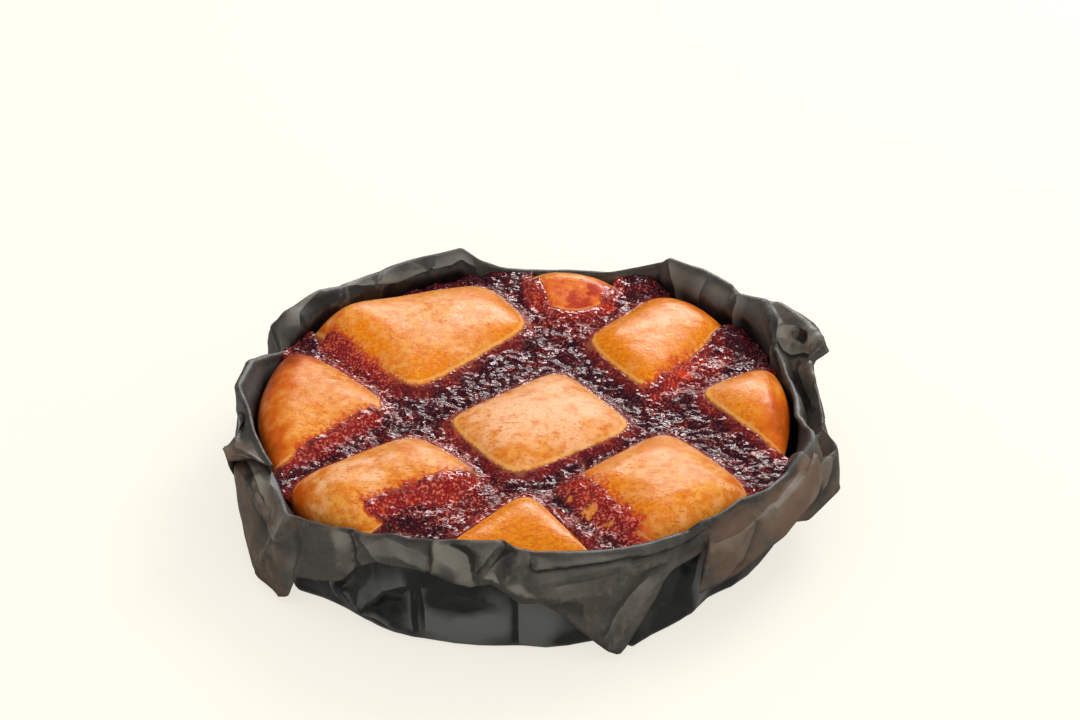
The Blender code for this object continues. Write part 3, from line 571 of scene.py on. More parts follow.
def lumps(x, y, size):
    """Rounded lumps with sharp valleys between them: 1 on a lump, towards 0 in a valley."""
    nearest = [noise.voronoi(Vector((px / size, py / size, 0)))[0][0] for px, py in zip(x, y)]
    return 1 - np.clip(np.array(nearest), 0, 1) ** 2


def film_reach(x, y):
    """Over 0 where a film of jam covers the crust, up to 1 along its middle line."""
    reach = np.full_like(x, -9.0)
    for x0, y0, x1, y1, width in FILMS:
        along, across, length = beside_line((x0, y0), (x1, y1), x, y)
        away = np.hypot(across, along - np.clip(along, 0, length))
        reach = np.maximum(reach, 1 - away / width)
    return reach


def ragged_film(x, y):
    """The same with an uneven edge, and nothing right against the paper."""
    sinking = FILM_END_DROP * ramp(np.hypot(x, y), FILM_END_START, FILM_END)
    return film_reach(x, y) + waves(FILM_WAVES, x, y) - sinking


def jam_level(x, y):
    """Height of the jam without its lumps, below the baked surface where a pad is bare."""
    inside = inside_any_pad(x, y)
    off_rim = 1 - ramp(np.hypot(x, y), JAM_CALM_START, CAKE_RADIUS)
    climb = JAM_CLIMB * off_rim * np.exp(np.minimum(inside, 0) / JAM_CLIMB_LENGTH)
    under_pad = np.maximum(inside - JAM_LAP, 0)
    return JAM_LEVEL + climb + bumps(JAM_HEAPS, x, y) - JAM_LAP_SLOPE * under_pad


# -------- meshes

def square_to_disc(u, v):
    """Concentric map of the square from -1 to 1 onto the unit disc, which keeps areas even."""
    wide = np.abs(u) >= np.abs(v)
    with np.errstate(divide="ignore", invalid="ignore"):
        radius = np.where(wide, u, v)
        angle = np.where(wide, np.pi / 4 * v / u, np.pi / 2 - np.pi / 4 * u / v)
    angle = np.nan_to_num(angle)
    return radius * np.cos(angle), radius * np.sin(angle)


def disc_grid(cells, radius):
    """A bmesh grid over a round, with the flat places of its vertices."""
    mesh = bmesh.new()
    bmesh.ops.create_grid(mesh, x_segments=cells, y_segments=cells, size=1)
    flat = np.array([vertex.co for vertex in mesh.verts], float)
    x, y = square_to_disc(flat[:, 0], flat[:, 1])
    return mesh, radius * x, radius * y


def move_vertices(mesh, places):
    for vertex, place in zip(mesh.verts, places):
        vertex.co = Vector(place) * MM


def open_edges(mesh):
    return [edge for edge in mesh.edges if edge.is_boundary]


def extrude_rim(mesh, radius, height):
    """Extrudes the open boundary once, to a radius and a height that follow from the old ones."""
    made = bmesh.ops.extrude_edge_only(mesh, edges=open_edges(mesh))["geom"]
    for vertex in (item for item in made if isinstance(item, bmesh.types.BMVert)):
        x, y, z = vertex.co / MM
        share = radius(math.hypot(x, y)) / math.hypot(x, y)
        vertex.co = Vector((x * share, y * share, height(z))) * MM


def store_marks(mesh, marks):
    """Gives every vertex numbers that the materials read."""
    for name, values in marks.items():
        layer = mesh.verts.layers.float.new(name)
        for vertex, value in zip(mesh.verts, values):
            vertex[layer] = value


def settle(name, mesh, material):
    """Makes the object of a finished bmesh, moved from the cake's axis into the frame."""
    data = bpy.data.meshes.new(name)
    bmesh.ops.translate(mesh, verts=mesh.verts, vec=AXIS)
    mesh.to_mesh(data)
    mesh.free()
    data.materials.append(material)
    data.shade_smooth()
    piece = bpy.data.objects.new(name, data)
    bpy.context.scene.collection.objects.link(piece)
    return piece


def finish_piece(piece, node):
    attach(piece, "root")
    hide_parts(node)


# -------- the cake

def make_cake():
    mesh, x, y = disc_grid(CAKE_CELLS, CAKE_RADIUS - TOP_RIM_INSET)
    smooth = cake_top(x, y)
    risen = ramp(smooth, GROOVE_FLOOR, GROOVE_FLOOR + PAD_RISE)
    move_vertices(mesh, np.column_stack((x, y, smooth + risen * waves(CRUST_WAVES, x, y))))
    store_marks(mesh, {
        "browned": bumps(BROWNED, x, y) + waves([BROWNING_WAVE], x, y),
        "scorched": ramp(np.hypot(x, y), SCORCH_START, CAKE_RADIUS) * bumps(SCORCHED, x, y),
        "bare": smooth - jam_level(x, y),
        "red": np.clip(film_reach(x, y) + RED_MARGIN, 0, 1) + bumps(REDDER, x, y),
        "soaked": bumps(SOAKED, x, y),
        "film": np.clip(ragged_film(x, y), -1, 1),
    })
    extrude_rim(mesh, lambda radius: CAKE_RADIUS, lambda z: z - 2 * TOP_RIM_INSET)
    extrude_rim(mesh, lambda radius: CAKE_FOOT_RADIUS, lambda z: CAKE_FOOT_HEIGHT)
    bottom_radius = CAKE_FOOT_RADIUS - CAKE_FOOT_HEIGHT + CAKE_BOTTOM
    extrude_rim(mesh, lambda radius: bottom_radius, lambda z: CAKE_BOTTOM)
    bmesh.ops.edgeloop_fill(mesh, edges=open_edges(mesh))
    bmesh.ops.recalc_face_normals(mesh, faces=mesh.faces)
    return settle("puffed_cake", mesh, baked_crust())


# -------- the jam

def jam_top(x, y, crust):
    """Height of the jam with its pulp: the jam in the grooves, or a film on a pad, whichever is higher."""
    reach = film_reach(x, y)
    could_show = np.maximum(jam_level(x, y), crust + SEARCH_FILM * reach) > crust - SEARCH_DEPTH
    near = np.flatnonzero(could_show)
    x, y, crust_near = x[near], y[near], crust[near]
    ragged = ragged_film(x, y)
    calm = jam_level(x, y)
    pulp = waves(PULP_WAVES, x, y) + BERRY_HEIGHT * (lumps(x, y, BERRY_SIZE) - BERRY_MIDDLE)
    pulp_in_film = FILM_PULP * np.minimum(pulp, FILM_PULP) * np.clip(ragged, 0, 1)
    film = crust_near + np.clip(FILM_SLOPE * ragged, FILM_LOWEST, FILM_HIGHEST) + pulp_in_film
    level = calm + pulp * np.clip(PULP_LEAST + (calm - crust_near) / PULP_DEPTH, PULP_LEAST, 1)
    height = np.full_like(crust, -9.0)
    height[near] = np.maximum(level, film)
    return height


def make_jam(sheet):
    mesh, x, y = disc_grid(JAM_CELLS, JAM_RADIUS)
    inwards = np.minimum(1, JAM_CRUST_RADIUS / np.maximum(np.hypot(x, y), TINY))
    crust = cake_top(inwards * x, inwards * y)
    height = jam_top(x, y, crust)
    shown = keep_whole_patches(mesh, height > crust - JAM_MARGIN)
    x, y, height, crust = x[shown], y[shown], height[shown], crust[shown]
    stretch = ramp(np.hypot(x, y), JAM_STRETCH_START, JAM_RADIUS)
    wider = 1 + stretch**2 * ((inner_radius(sheet, x, y, height) - JAM_GAP) / JAM_RADIUS - 1)
    move_vertices(mesh, np.column_stack((wider * x, wider * y, height)))
    store_marks(mesh, {
        "depth": np.clip(height - crust, 0, JAM_DEPTH_MARKED),
        "red": np.clip(film_reach(x, y), 0, 1) + bumps(REDDER, x, y),
        "crumb": bumps(CRUMBS, x, y),
        "chip": bumps(CHIPS, x, y),
    })
    extrude_rim(mesh, lambda radius: min(radius, JAM_FOOT_RADIUS), lambda z: JAM_UNDERSIDE)
    bmesh.ops.triangle_fill(mesh, edges=open_edges(mesh), normal=(0, 0, -1))
    bmesh.ops.recalc_face_normals(mesh, faces=mesh.faces)
    return settle("berry_jam", mesh, wet_jam())


def keep_whole_patches(mesh, wanted):
    """Deletes unwanted vertices, and those where two patches would meet in a single point."""
    wanted = wanted.copy()
    mesh.verts.ensure_lookup_table()
    order = {vertex: index for index, vertex in enumerate(mesh.verts)}
    while True:
        whole = {face for face in mesh.faces if all(wanted[order[vertex]] for vertex in face.verts)}
        pinched = [
            order[vertex] for vertex in mesh.verts if wanted[order[vertex]]
            and sum(sum(face in whole for face in edge.link_faces) == 1 for edge in vertex.link_edges) != 2
            and not all(face in whole for face in vertex.link_faces)
        ]
        if not pinched:
            break
        wanted[pinched] = False
    unwanted = [vertex for vertex in mesh.verts if not wanted[order[vertex]]]
    bmesh.ops.delete(mesh, geom=unwanted, context="VERTS")
    return wanted


# -------- the paper

def polar(angle, radius, height):
    """A point from an angle in degrees, a radius and a height."""
    turn = math.radians(angle)
    return np.array((radius * math.cos(turn), radius * math.sin(turn), height))


def wall_angles():
    """The folds' angles, made to rise all the way round, because only the collar is pleated back."""
    crests = np.array([fold.crest[0] for fold in FOLDS])
    so_far = np.maximum.accumulate(crests)
    to_come = np.minimum.accumulate(crests[::-1])[::-1]
    even = crests[0] + 360 * np.arange(len(crests)) / len(crests)
    return (1 - EVEN_SHARE) * (so_far + to_come) / 2 + EVEN_SHARE * even


def fold_profile(fold, wall_angle):
    """The line of one fold over the sheet, as points from the floor's centre to the free edge."""
    angle, radius, height = fold.crest
    crest = polar(*fold.crest)
    edge = polar(*fold.edge)
    shoulder = fold.shoulder or (SHOULDER_RADIUS, height - SHOULDER_DROP)
    outwards = np.append(crest[:2] / radius, 0)
    plain_valley = crest + VALLEY_SHARE * (edge - crest) + COLLAR_BOW * outwards
    valley = polar(*fold.valley) if fold.valley else plain_valley
    plain_lip = valley + LIP_SHARE * (edge - valley) + COLLAR_BOW / 2 * outwards
    lip = polar(*fold.lip) if fold.lip else plain_lip
    floor = [(ring, SHEET_FLOOR) for ring in (*FLOOR_RINGS, fold.foot - FLOOR_END)]
    wall = [
        (fold.foot + share * (shoulder[0] - fold.foot) + WALL_BELLY, share * shoulder[1])
        for share in WALL_SHARES
    ]
    inner = [polar(wall_angle, *point) for point in (*floor, (fold.foot - FOOT_BEND, FOOT_RISE), *wall)]
    inner.append(polar((angle + wall_angle) / 2, *shoulder))
    crest_drop = np.array((0, 0, CREST_ROUND / 2))
    inner_crest = crest - CREST_ROUND * outwards - crest_drop
    outer_crest = crest + CREST_ROUND * outwards - crest_drop
    return np.array([*inner, inner_crest, outer_crest, valley, lip, edge])


def sheet_points():
    """The sheet before it creases, as columns x rows x 3, and the wall's angle of each column."""
    angles = wall_angles()
    lines = np.array([fold_profile(*pair) for pair in zip(FOLDS, angles)])
    following = np.roll(lines, -1, axis=0)
    turns = np.diff(np.append(angles, angles[0] + 360))
    spans = np.linalg.norm((following - lines)[:, OUTER_CREST], axis=1)
    steps = np.maximum(1, np.round(spans / COLUMN_STEP)).astype(int)
    gap = np.repeat(np.arange(len(lines)), steps)
    share = np.concatenate([np.arange(count) / count for count in steps])
    columns = lines[gap] + share[:, None, None] * (following - lines)[gap]
    rows = [columns[:, 0]]
    for row, cuts in enumerate(ROW_CUTS):
        for cut in range(1, cuts + 1):
            rows.append(columns[:, row] + cut / cuts * (columns[:, row + 1] - columns[:, row]))
    return np.stack(rows, axis=1), angles[gap] + share * turns[gap]


def beside(points):
    """The mean of each point's two neighbours round the sheet."""
    return (np.roll(points, 1, axis=0) + np.roll(points, -1, axis=0)) / 2


def soften(points):
    """Rounds every crease a little by averaging neighbours along and across the sheet."""
    around = (beside(points) + points) / 2
    points[:, SOFT_FROM_ROW:] = around[:, SOFT_FROM_ROW:]
    across = points[:, :-2] / 4 + points[:, 1:-1] / 2 + points[:, 2:] / 4
    points[:, SOFT_FROM_ROW:-1] = across[:, SOFT_FROM_ROW - 1:]
    return points


def facing(points):
    """Unit normals of the sheet, on the side that touches the cake and shows on the collar."""
    along = np.roll(points, -1, axis=0) - np.roll(points, 1, axis=0)
    across = np.gradient(points, axis=1)
    normal = np.cross(across, along)
    return normal / np.maximum(np.linalg.norm(normal, axis=2, keepdims=True), 1e-9)


def net_corners(net, length, creases):
    """The places and heights of a net's corners, and which pairs of them a crease joins.

    The corners are drawn at random, except near the given creases, which the net follows instead.
    The net runs on past both ends, so that it closes on itself.
    """
    draw = np.random.default_rng(net.seed)
    count, rows = round(length / net.wide), math.ceil(NET_SPAN / net.tall)
    step = length / count
    heights = draw.uniform(-net.depth, net.depth, (count, rows))
    jitter = draw.uniform(-CORNER_JITTER, CORNER_JITTER, (count, rows, 2))
    corners, levels, joined = [], [], []
    for crease in creases:
        joined += [(len(corners) + number, len(corners) + number + 1) for number in range(len(crease) - 1)]
        corners += [Vector(place[:2]) for place in crease]
        levels += [place[2] for place in crease]
    creased = np.array([(*corner,) for corner in corners]).reshape(-1, 2)
    for column in range(-2, count + 2):
        for row in range(rows):
            shift_x, shift_y = jitter[column % count, row]
            corner = ((column + shift_x) * step, (row + shift_y) * net.tall - NET_SPAN / 2)
            if len(creased) and np.hypot(*(creased - corner).T).min() < CREASE_REACH:
                continue
            corners.append(Vector(corner))
            levels.append(heights[column % count, row])
    return corners, levels, joined


def facets(around, down, length, net, creases=()):
    """Height, and slopes round and down, of a net of flat facets."""
    corners, levels, joined = net_corners(net, length, creases)
    places, _, faces, origins, _, _ = geometry.delaunay_2d_cdt(corners, joined, [], 0, TINY)
    places = np.array([(*place,) for place in places])
    levels = np.array([levels[origin[0]] if origin else 0 for origin in origins])
    where = np.array((around, down))
    relief = np.zeros((3, len(around)))
    for face in faces:
        low, high = places[face].min(axis=0)[:, None], places[face].max(axis=0)[:, None]
        near = np.flatnonzero(((where >= low) & (where <= high)).all(axis=0))
        sides = (places[face[:2]] - places[face[2]]).T
        if not len(near) or abs(np.linalg.det(sides)) < TINY:
            continue
        to_shares = np.linalg.inv(sides)
        shares = to_shares @ (where[:, near] - places[face[2]][:, None])
        inside = (shares >= -TINY).all(axis=0) & (shares.sum(axis=0) <= 1 + TINY)
        rises = levels[face[:2]] - levels[face[2]]
        relief[0, near[inside]] = levels[face[2]] + rises @ shares[:, inside]
        relief[1:, near[inside]] = (rises @ to_shares)[:, None]
    return relief


def ovals(places, around, down):
    """The sum of oval patches on the sheet: where, both half-widths and the amount."""
    total = np.zeros_like(around)
    for centre_around, centre_down, half_around, half_down, amount in places:
        away = ((around - centre_around) / half_around) ** 2 + ((down - centre_down) / half_down) ** 2
        total += amount * np.exp(-away)
    return total


def pressed_tones(around, down):
    """How far each place lies from the nearest pressed line, on which side, and both tones of painted light
    and shade there.
    """
    nearest = np.full_like(around, 99.0)
    side, first, second = np.ones_like(around), np.zeros_like(around), np.zeros_like(around)
    for line, *both in PRESSED:
        runs = [(start[:2], end[:2]) for start, end in zip(line, line[1:])]
        whole = sum(math.dist(*run) for run in runs)
        passed = 0
        for run in runs:
            along, across, length = beside_line(*run, around, down)
            held = np.clip(along, 0, length)
            away = np.hypot(across, along - held)
            shown = ramp(np.minimum(passed + held, whole - passed - held), 0, TONE_END)
            shown[np.abs(along - held) > np.abs(across)] = 0
            closer = away < nearest
            nearest[closer] = away[closer]
            side[closer] = across[closer]
            for mark, (tone, width), own in zip((first, second), both, (across > 0, across <= 0)):
                fading = np.clip(1 - away / np.where(own, width, TONE_ACROSS), 0, 1)
                mark[closer] = (tone * shown * fading)[closer]
            passed += length
    return {"side": side, "first_tone": first, "second_tone": second}


# The creased sheet: its points, columns x rows x 3, how far round and down each one lies, and how
# far its facet tilts up (above 0) or down.
Sheet = namedtuple("Sheet", "points around down tilt")


def crease_sheet():
    points, angles = sheet_points()
    points = soften(points)
    lengths = np.linalg.norm(np.diff(points, axis=1), axis=2)
    down = np.concatenate((np.zeros((len(points), 1)), np.cumsum(lengths, axis=1)), axis=1)
    down -= down[:, CREST_ROW:CREST_ROW + 1]
    ring = 2 * math.pi * SHOULDER_RADIUS
    around = np.repeat(((angles - angles[0]) / 360 * ring)[:, None], points.shape[1], axis=1)

    flat = around.ravel(), down.ravel(), ring
    broad = facets(*flat, BROAD_NET, CREASES).reshape(3, *down.shape)
    medium = facets(*flat, MEDIUM_NET).reshape(3, *down.shape)
    small = facets(*flat, SMALL_NET).reshape(3, *down.shape)
    collar = ramp(down, 0, COLLAR_START)
    wall = ramp(-down, 0, WALL_START) * ramp(points[:, :, 2], *WALL_FOOT)
    crease = (COLLAR_RELIEF * collar - wall) * broad[0]
    crease += (collar - WALL_FINE_RELIEF * wall) * (medium[0] + small[0])
    points = points + crease[:, :, None] * facing(points)
    # The facets' tilt, which make_paper() turns into painted light and shade.
    _, slope_round, slope_down = broad + MEDIUM_TILT * medium
    tilt = (collar - WALL_TILT * wall) * slope_down
    tilt -= TILT_ROUND * (collar + WALL_TILT * wall) * slope_round
    tilt = (tilt + soften(tilt[:, :, None].copy())[:, :, 0]) / 2
    return Sheet(fit_sheet(points, down), around, down, tilt)


def fit_sheet(points, down):
    """Keeps the wall off the cake, and the sheet over the table and inside the solid's box."""
    radius = np.hypot(points[:, :, 0], points[:, :, 1])
    clear = np.clip(CLEAR_FOOT + CLEAR_LEAN * (points[:, :, 2] - CAKE_FOOT_HEIGHT), 0, CLEAR_TOP)
    squeezed = (down < 0) & (points[:, :, 2] > CLEAR_FROM) & (radius < clear)
    points[squeezed, :2] *= (clear / np.maximum(radius, TINY))[squeezed, None]
    points[:, :, 2] = np.maximum(points[:, :, 2], SHEET_FLOOR / 2 + BOX_MARGIN)
    low, high = (np.array((corner - AXIS) / MM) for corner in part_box("paper_case"))
    inside = SHEET_THICKNESS / 2 + BOX_MARGIN
    points[:, :, :2] = np.maximum(points[:, :, :2], low[:2] + inside)
    return np.minimum(points, high - inside)


def inner_radius(sheet, x, y, z):
    """How far out the inner side of the paper stands at a height, in the direction of each point."""
    rising = sheet.points[:, WALL_ROW:CREST_ROW]
    middle = rising[:, len(rising[0]) // 2]
    directions = np.arctan2(middle[:, 1], middle[:, 0])
    order = np.argsort(directions)
    column = order[np.searchsorted(directions[order], np.arctan2(y, x)) % len(order)]
    radii = np.hypot(rising[:, :, 0], rising[:, :, 1])
    return np.array([np.interp(height, rising[at, :, 2], radii[at]) for at, height in zip(column, z)])


def make_paper(sheet):
    points, around, down, tilt = sheet
    columns, rows = points.shape[:2]
    mesh = bmesh.new()
    bmesh.ops.create_grid(mesh, x_segments=columns, y_segments=rows - 1, size=1)
    where = np.array([vertex.co for vertex in mesh.verts], float)
    column = np.round((where[:, 0] + 1) / 2 * columns).astype(int) % columns
    row = np.round((where[:, 1] + 1) / 2 * (rows - 1)).astype(int)
    move_vertices(mesh, points[column, row])
    crest = np.exp(-(down / CREST_WIDTH) ** 2)
    marks = {
        "bend": worn_folds(points),
        # Painted light and shade: patches, facets painted by their tilt, and a darker crest.
        "shade": ovals(SHADES, around, down) + TILT_SHADE * tilt - CREST_SHADE * crest,
        "stained": bumps(STAINED, points[:, :, 0], points[:, :, 1]) * ramp(down, 0, STAIN_START),
        "down": down,
        **pressed_tones(around, down),
    }
    store_marks(mesh, {name: values[column, row] for name, values in marks.items()})
    bmesh.ops.remove_doubles(mesh, verts=mesh.verts, dist=TINY)
    bmesh.ops.recalc_face_normals(mesh, faces=mesh.faces)
    piece = settle("baking_paper_case", mesh, baking_paper())
    thicken = piece.modifiers.new("paper_thickness", "SOLIDIFY")
    thicken.thickness = SHEET_THICKNESS * MM
    thicken.offset = 0
    return piece


def worn_folds(points):
    """How sharply the sheet bends at each point: positive on ridges, negative in valleys."""
    normal = facing(points)
    around = beside(points) - points
    across = np.zeros_like(points)
    across[:, 1:-1] = (points[:, :-2] + points[:, 2:]) / 2 - points[:, 1:-1]
    return -((around + across) * normal).sum(axis=2)


# -------- materials

def linear(colour):
    """Makes three numbers from 0 to 255, as a picture shows a colour, linear; leaves others as they are."""
    if isinstance(colour, tuple) and len(colour) == 3:
        return (*(((value / 255 + 0.055) / 1.055) ** 2.4 for value in colour), 1)
    return colour


class Paint:
    """The shader nodes of one material or world, under short names."""

    def __init__(self, tree):
        self.tree = tree

    def feed(self, node, inputs):
        """Gives a node's inputs their values, or other nodes' outputs."""
        for name, value in inputs.items():
            if isinstance(value, bpy.types.NodeSocket):
                self.tree.links.new(value, node.inputs[name])
            else:
                node.inputs[name].default_value = value

    def add(self, kind, inputs=None, **settings):
        made = self.tree.nodes.new("ShaderNode" + kind)
        for name, value in settings.items():
            setattr(made, name, value)
        self.feed(made, inputs or {})
        return made

    def maths(self, operation, first, second):
        return self.add("Math", {0: first, 1: second}, operation=operation).outputs[0]

    def plus(self, first, second):
        return self.maths("ADD", first, second)

    def times(self, first, second):
        return self.maths("MULTIPLY", first, second)

    def rest(self, share):
        return self.maths("SUBTRACT", 1.0, share)

    def spread(self, value, low, high, to_low=0.0, to_high=1.0):
        """Maps low..high to to_low..to_high, clamped."""
        return self.add("MapRange", {
            "Value": value, "From Min": low, "From Max": high, "To Min": to_low, "To Max": to_high,
        }).outputs["Result"]

    def mark(self, name):
        """A number that store_marks() left on the vertices."""
        return self.add("Attribute", attribute_name=name).outputs["Fac"]

    def grain(self, size, detail, stretch=(1, 1, 1)):
        """Noise in waves of the given size in millimetres."""
        place = self.add("TexCoord").outputs["Object"]
        turned = self.add("Mapping", {"Vector": place, "Scale": stretch}).outputs[0]
        scale = 1 / (size * MM)
        return self.add("TexNoise", {"Vector": turned, "Scale": scale, "Detail": detail}).outputs["Fac"]

    def patches(self, size, detail, low, high, to_low=0.0, to_high=1.0, stretch=(1, 1, 1)):
        """Grain whose low..high is mapped to to_low..to_high."""
        return self.spread(self.grain(size, detail, stretch), low, high, to_low, to_high)

    def uneven(self, name, size, detail, amount, reach=0.2):
        """A mark with grain of up to that amount added to it or taken off."""
        added = self.patches(size, detail, 0.5 - reach, 0.5 + reach, -amount, amount)
        return self.plus(self.mark(name), added)

    def mix(self, share, first, second):
        inputs = {0: share, 6: linear(first), 7: linear(second)}
        return self.add("Mix", inputs, data_type="RGBA").outputs[2]

    def over(self, colour, *layers):
        """Lays other colours over one, each with the share that it covers."""
        for share, layer in layers:
            colour = self.mix(share, colour, layer)
        return colour

    def raise_surface(self, shader, *layers):
        """Chains bumps, each a height, a strength and a depth in millimetres."""
        inputs = {}
        for height, strength, depth in layers:
            inputs.update({"Height": height, "Strength": strength, "Distance": depth * MM})
            inputs["Normal"] = self.add("Bump", inputs).outputs["Normal"]
        self.feed(shader, {"Normal": inputs["Normal"]})


def new_material(name):
    """A material with its paint and its shader."""
    material = bpy.data.materials.new(name)
    material.use_nodes = True
    return material, Paint(material.node_tree), material.node_tree.nodes["Principled BSDF"]


def baked_crust():
    """Peach where it lies flat, deeper orange where it browned, dark where it scorched on the paper."""
    material, paint, shader = new_material("baked_crust")
    browned = paint.uneven("browned", 6, 4, 0.75)
    scorched = paint.uneven("scorched", 6, 3, 0.25)
    soaked = paint.uneven("soaked", 3, 3, 0.45)
    bare = paint.uneven("bare", 1.4, 2, 0.2)
    film = paint.uneven("film", 1.2, 2, 0.3, reach=0.15)
    golden = paint.mix(paint.patches(11, 2, 0.35, 0.65), (242, 164, 64), (236, 152, 72))
    pale = paint.mix(paint.patches(2.6, 3, 0.4, 0.62), golden, (226, 130, 34))
    deeper = paint.mix(paint.patches(1.3, 2, 0.35, 0.65), (238, 148, 14), (224, 112, 0))
    dashes = paint.patches(0.9, 1, 0.61, 0.7, 0, 0.65, stretch=(0.45, 1, 1))
    freckles = paint.patches(0.55, 1, 0.58, 0.7, 0, 0.5)
    margin = paint.times(paint.spread(bare, 0.3, 0.8), paint.spread(bare, 2.0, 0.9, 0, 0.5))
    juicy = paint.mix(paint.spread(paint.mark("red"), 0.3, 0.8), (150, 84, 62), (206, 78, 34))
    crust = paint.over(
        pale,
        (paint.spread(browned, 0.25, 0.85), deeper),
        (paint.spread(browned, -0.2, -0.9), (248, 182, 128)),
        (dashes, (190, 92, 22)),
        (freckles, (198, 92, 14)),
        (paint.spread(scorched, 0.15, 0.55), (208, 92, 4)),
        (paint.spread(scorched, 0.5, 1.0), (158, 66, 2)),
        (paint.spread(soaked, 0.2, 0.7), (224, 104, 34)),
        (paint.spread(soaked, 0.8, 1.2), (182, 50, 14)),
        (margin, (248, 196, 112)),
        (paint.spread(film, -0.5, 0.0), (196, 66, 30)),
        (paint.spread(bare, 0.45, 0.1), juicy),
    )
    fatty = paint.plus(browned, paint.patches(5, 2, 0.35, 0.65))
    paint.feed(shader, {
        "Base Color": crust,
        "Roughness": paint.spread(fatty, 0.2, 1.8, 0.44, 0.26),
        "IOR": 1.34,
        "Specular Tint": (1.0, 0.86, 0.68, 1),
        "Subsurface Weight": 0.1,
        "Subsurface Radius": (1.0, 0.4, 0.15),
        "Subsurface Scale": 1.5 * MM,
    })
    paint.raise_surface(shader, (paint.grain(3.4, 2), 0.3, 0.2), (paint.grain(1.0, 2), 0.8, 0.12))
    return material


def wet_jam():
    """Near black where it is deep, crimson where it thins out over the crust, with pale specks of painted
    glint in it.
    """
    material, paint, shader = new_material("wet_jam")
    depth = paint.uneven("depth", 1.3, 2, 0.5)
    redness = paint.spread(paint.uneven("red", 5, 3, 0.5), 0.0, 0.9)
    deep = paint.mix(redness, (46, 11, 26), (104, 16, 24))
    shallow = paint.mix(redness, (100, 22, 28), (150, 30, 27))
    edge = paint.mix(redness, (140, 58, 40), (208, 80, 32))
    # Painted highlights: pale specks that stand for glints on the jam's lumps.
    pulp = paint.times(paint.patches(0.9, 1, 0.53, 0.66), paint.spread(redness, 0, 1, 0.18, 0.8))
    chip = paint.uneven("chip", 1.9, 3, 0.2, reach=0.15)
    crumb = paint.uneven("crumb", 1.9, 3, 0.2, reach=0.15)
    jam = paint.over(
        edge,
        (paint.spread(depth, -0.1, 0.35), paint.mix(paint.spread(depth, 0.6, 3.4), shallow, deep)),
        (pulp, (226, 122, 100)),
        (paint.spread(chip, 0.5, 1.0), (206, 60, 22)),
        (paint.spread(crumb, 0.45, 0.8), (236, 146, 62)),
    )
    paint.feed(shader, {
        "Base Color": jam,
        "Roughness": paint.patches(6, 2, 0.38, 0.62, 0.07, 0.3),
        "IOR": 1.42,
        "Specular Tint": (1.0, 0.8, 0.78, 1),
    })
    paint.raise_surface(shader, (paint.grain(2.6, 1), 0.9, 0.6), (paint.grain(1.2, 0), 0.8, 0.26))
    return material


def baking_paper():
    """Dark greaseproof paper: dull grey-brown on the collar, near black and glossy down the wall, with
    painted light and shade on its facets, creases and inner wall.
    """
    material, paint, shader = new_material("baking_paper")
    # Near black down the wall: the outer side's own colour, and painted shade on the inner side.
    dark_wall_and_shade = paint.spread(paint.mark("down"), -4.0, -11.0)
    stained = paint.uneven("stained", 10, 4, 0.4)
    # Painted light and shade: the shade mark and the tones on both sides of each pressed line.
    first_side = paint.spread(paint.mark("side"), -0.12, 0.12)
    first_tone = paint.times(first_side, paint.mark("first_tone"))
    second_tone = paint.times(paint.rest(first_side), paint.mark("second_tone"))
    shade = paint.plus(paint.plus(paint.uneven("shade", 7, 3, 0.15), first_tone), second_tone)
    wear = paint.spread(paint.mark("bend"), 0.06, 0.3)
    worn = paint.times(wear, paint.patches(2.5, 4, 0.38, 0.6, 0, 0.45))
    colour = paint.over(
        (76, 75, 70),
        (paint.patches(26, 3, 0.35, 0.65), (86, 79, 72)),
        (paint.patches(1.2, 4, 0.3, 0.7, 0, 0.5), (54, 52, 49)),
        (paint.spread(stained, 0.25, 0.8, 0, 0.85), (114, 89, 70)),
        (dark_wall_and_shade, (21, 22, 25)),
        # Painted light and shade: lit and shaded copies of the paper's colour.
        (paint.spread(shade, 0.05, 1.0, 0, 0.9), paint.mix(dark_wall_and_shade, (132, 128, 117), (104, 105, 103))),
        (paint.spread(shade, -0.05, -0.9, 0, 0.9), paint.mix(dark_wall_and_shade, (36, 35, 33), (10, 11, 15))),
        (paint.times(worn, paint.rest(dark_wall_and_shade)), (122, 114, 102)),
    )
    paint.feed(shader, {
        "Base Color": colour,
        "Roughness": paint.spread(dark_wall_and_shade, 0, 1, 0.46, 0.3),
        "IOR": 1.48,
    })
    paint.raise_surface(shader, (paint.grain(3.0, 3), 0.3, 0.3), (paint.grain(0.35, 2), 0.25, 0.05))
    return material


def floor_finish():
    """A pale board that glows a little, as a white table does in an overexposed picture."""
    material, paint, shader = new_material("pale_floor")
    seen = paint.add("LightPath").outputs["Is Camera Ray"]
    paint.feed(shader, {
        "Base Color": paint.mix(seen, FLOOR_UNSEEN, FLOOR_SEEN),
        "Roughness": 0.9,
        "Specular IOR Level": 0.1,
        "Emission Color": FLOOR_GLOW_COLOUR,
        "Emission Strength": paint.spread(seen, 0, 1, FLOOR_LIGHT, FLOOR_GLOW),
    })
    return material


# -------- floor, light and camera

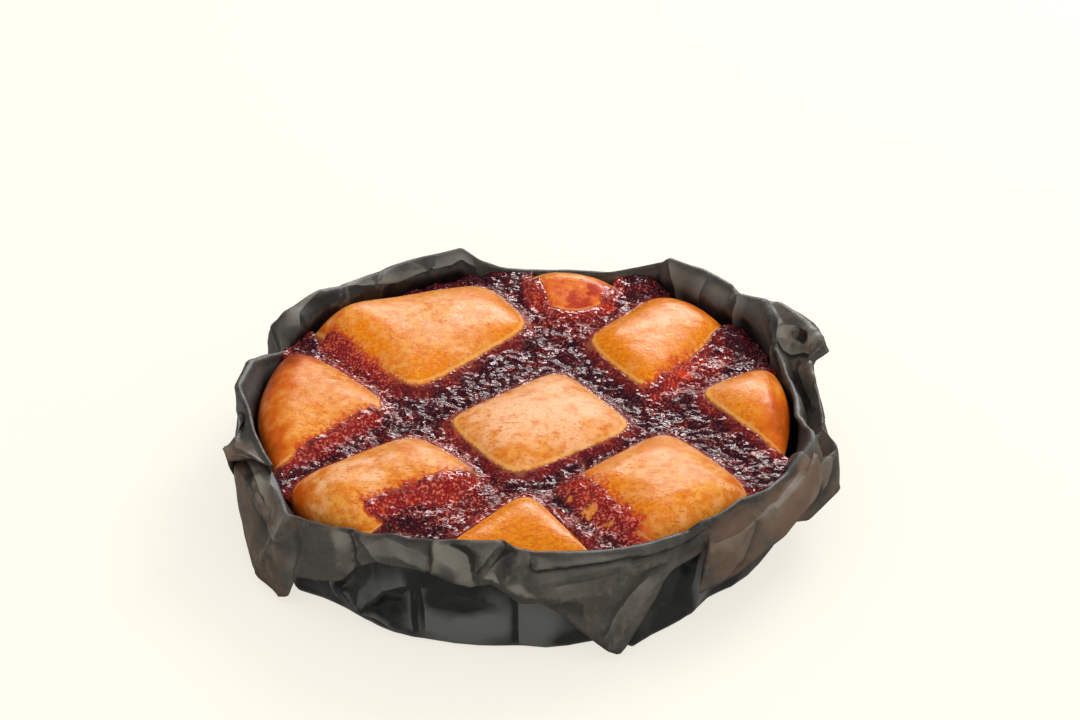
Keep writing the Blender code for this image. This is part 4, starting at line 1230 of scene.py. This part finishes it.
def make_floor():
    mesh = bmesh.new()
    bmesh.ops.create_grid(mesh, x_segments=1, y_segments=1, size=FLOOR_HALF)
    floor = settle("floor", mesh, floor_finish())


def make_panel(panel):
    light = bpy.data.lights.new(panel.name, "AREA")
    light.shape = "RECTANGLE"
    light.size, light.size_y = panel.size
    light.energy = panel.power
    holder = bpy.data.objects.new(panel.name, light)
    holder.location = Vector(panel.place)
    holder.visible_diffuse = not panel.mirrored
    holder.visible_glossy = panel.mirrored
    holder.rotation_euler = (AXIS - holder.location).to_track_quat("-Z", "Y").to_euler()
    bpy.context.scene.collection.objects.link(holder)


def light_room():
    """The panels, and a room that is brighter on one side and darker where it is mirrored."""
    world = bpy.data.worlds.new("pale_room")
    world.use_nodes = True
    paint = Paint(world.node_tree)
    direction = paint.add("TexCoord").outputs["Generated"]
    lean = paint.add("VectorMath", {0: direction, 1: LIGHT_SIDE}, operation="DOT_PRODUCT").outputs["Value"]
    mirrored = paint.add("LightPath").outputs["Is Glossy Ray"]
    brightness = paint.spread(lean, *ROOM_LEAN, *ROOM_BRIGHTNESS)
    dimmed = paint.rest(paint.times(mirrored, 1 - MIRRORED_ROOM))
    background = world.node_tree.nodes["Background"]
    paint.feed(background, {"Strength": paint.times(brightness, dimmed), "Color": ROOM_COLOUR})
    bpy.context.scene.world = world
    for panel in PANELS:
        make_panel(panel)
    bpy.context.scene.view_settings.view_transform = "Standard"


def make_camera():
    right, up = Vector(CAMERA_RIGHT), Vector(CAMERA_UP)
    axes = Matrix((right, up, right.cross(up))).transposed()
    camera = bpy.data.cameras.new("camera")
    camera.sensor_width = SENSOR_WIDTH
    camera.lens = SENSOR_WIDTH * FOCAL_PIXELS / PICTURE_PIXELS
    holder = bpy.data.objects.new("camera", camera)
    holder.matrix_world = Matrix.Translation(AXIS + Vector(CAMERA_PLACE) * MM) @ axes.to_4x4()
    bpy.context.scene.collection.objects.link(holder)
    bpy.context.scene.camera = holder


make_camera()
light_room()
make_floor()
paper_sheet = crease_sheet()
finish_piece(make_paper(paper_sheet), "paper_case")
finish_piece(make_cake(), "cake")
finish_piece(make_jam(paper_sheet), "jam")
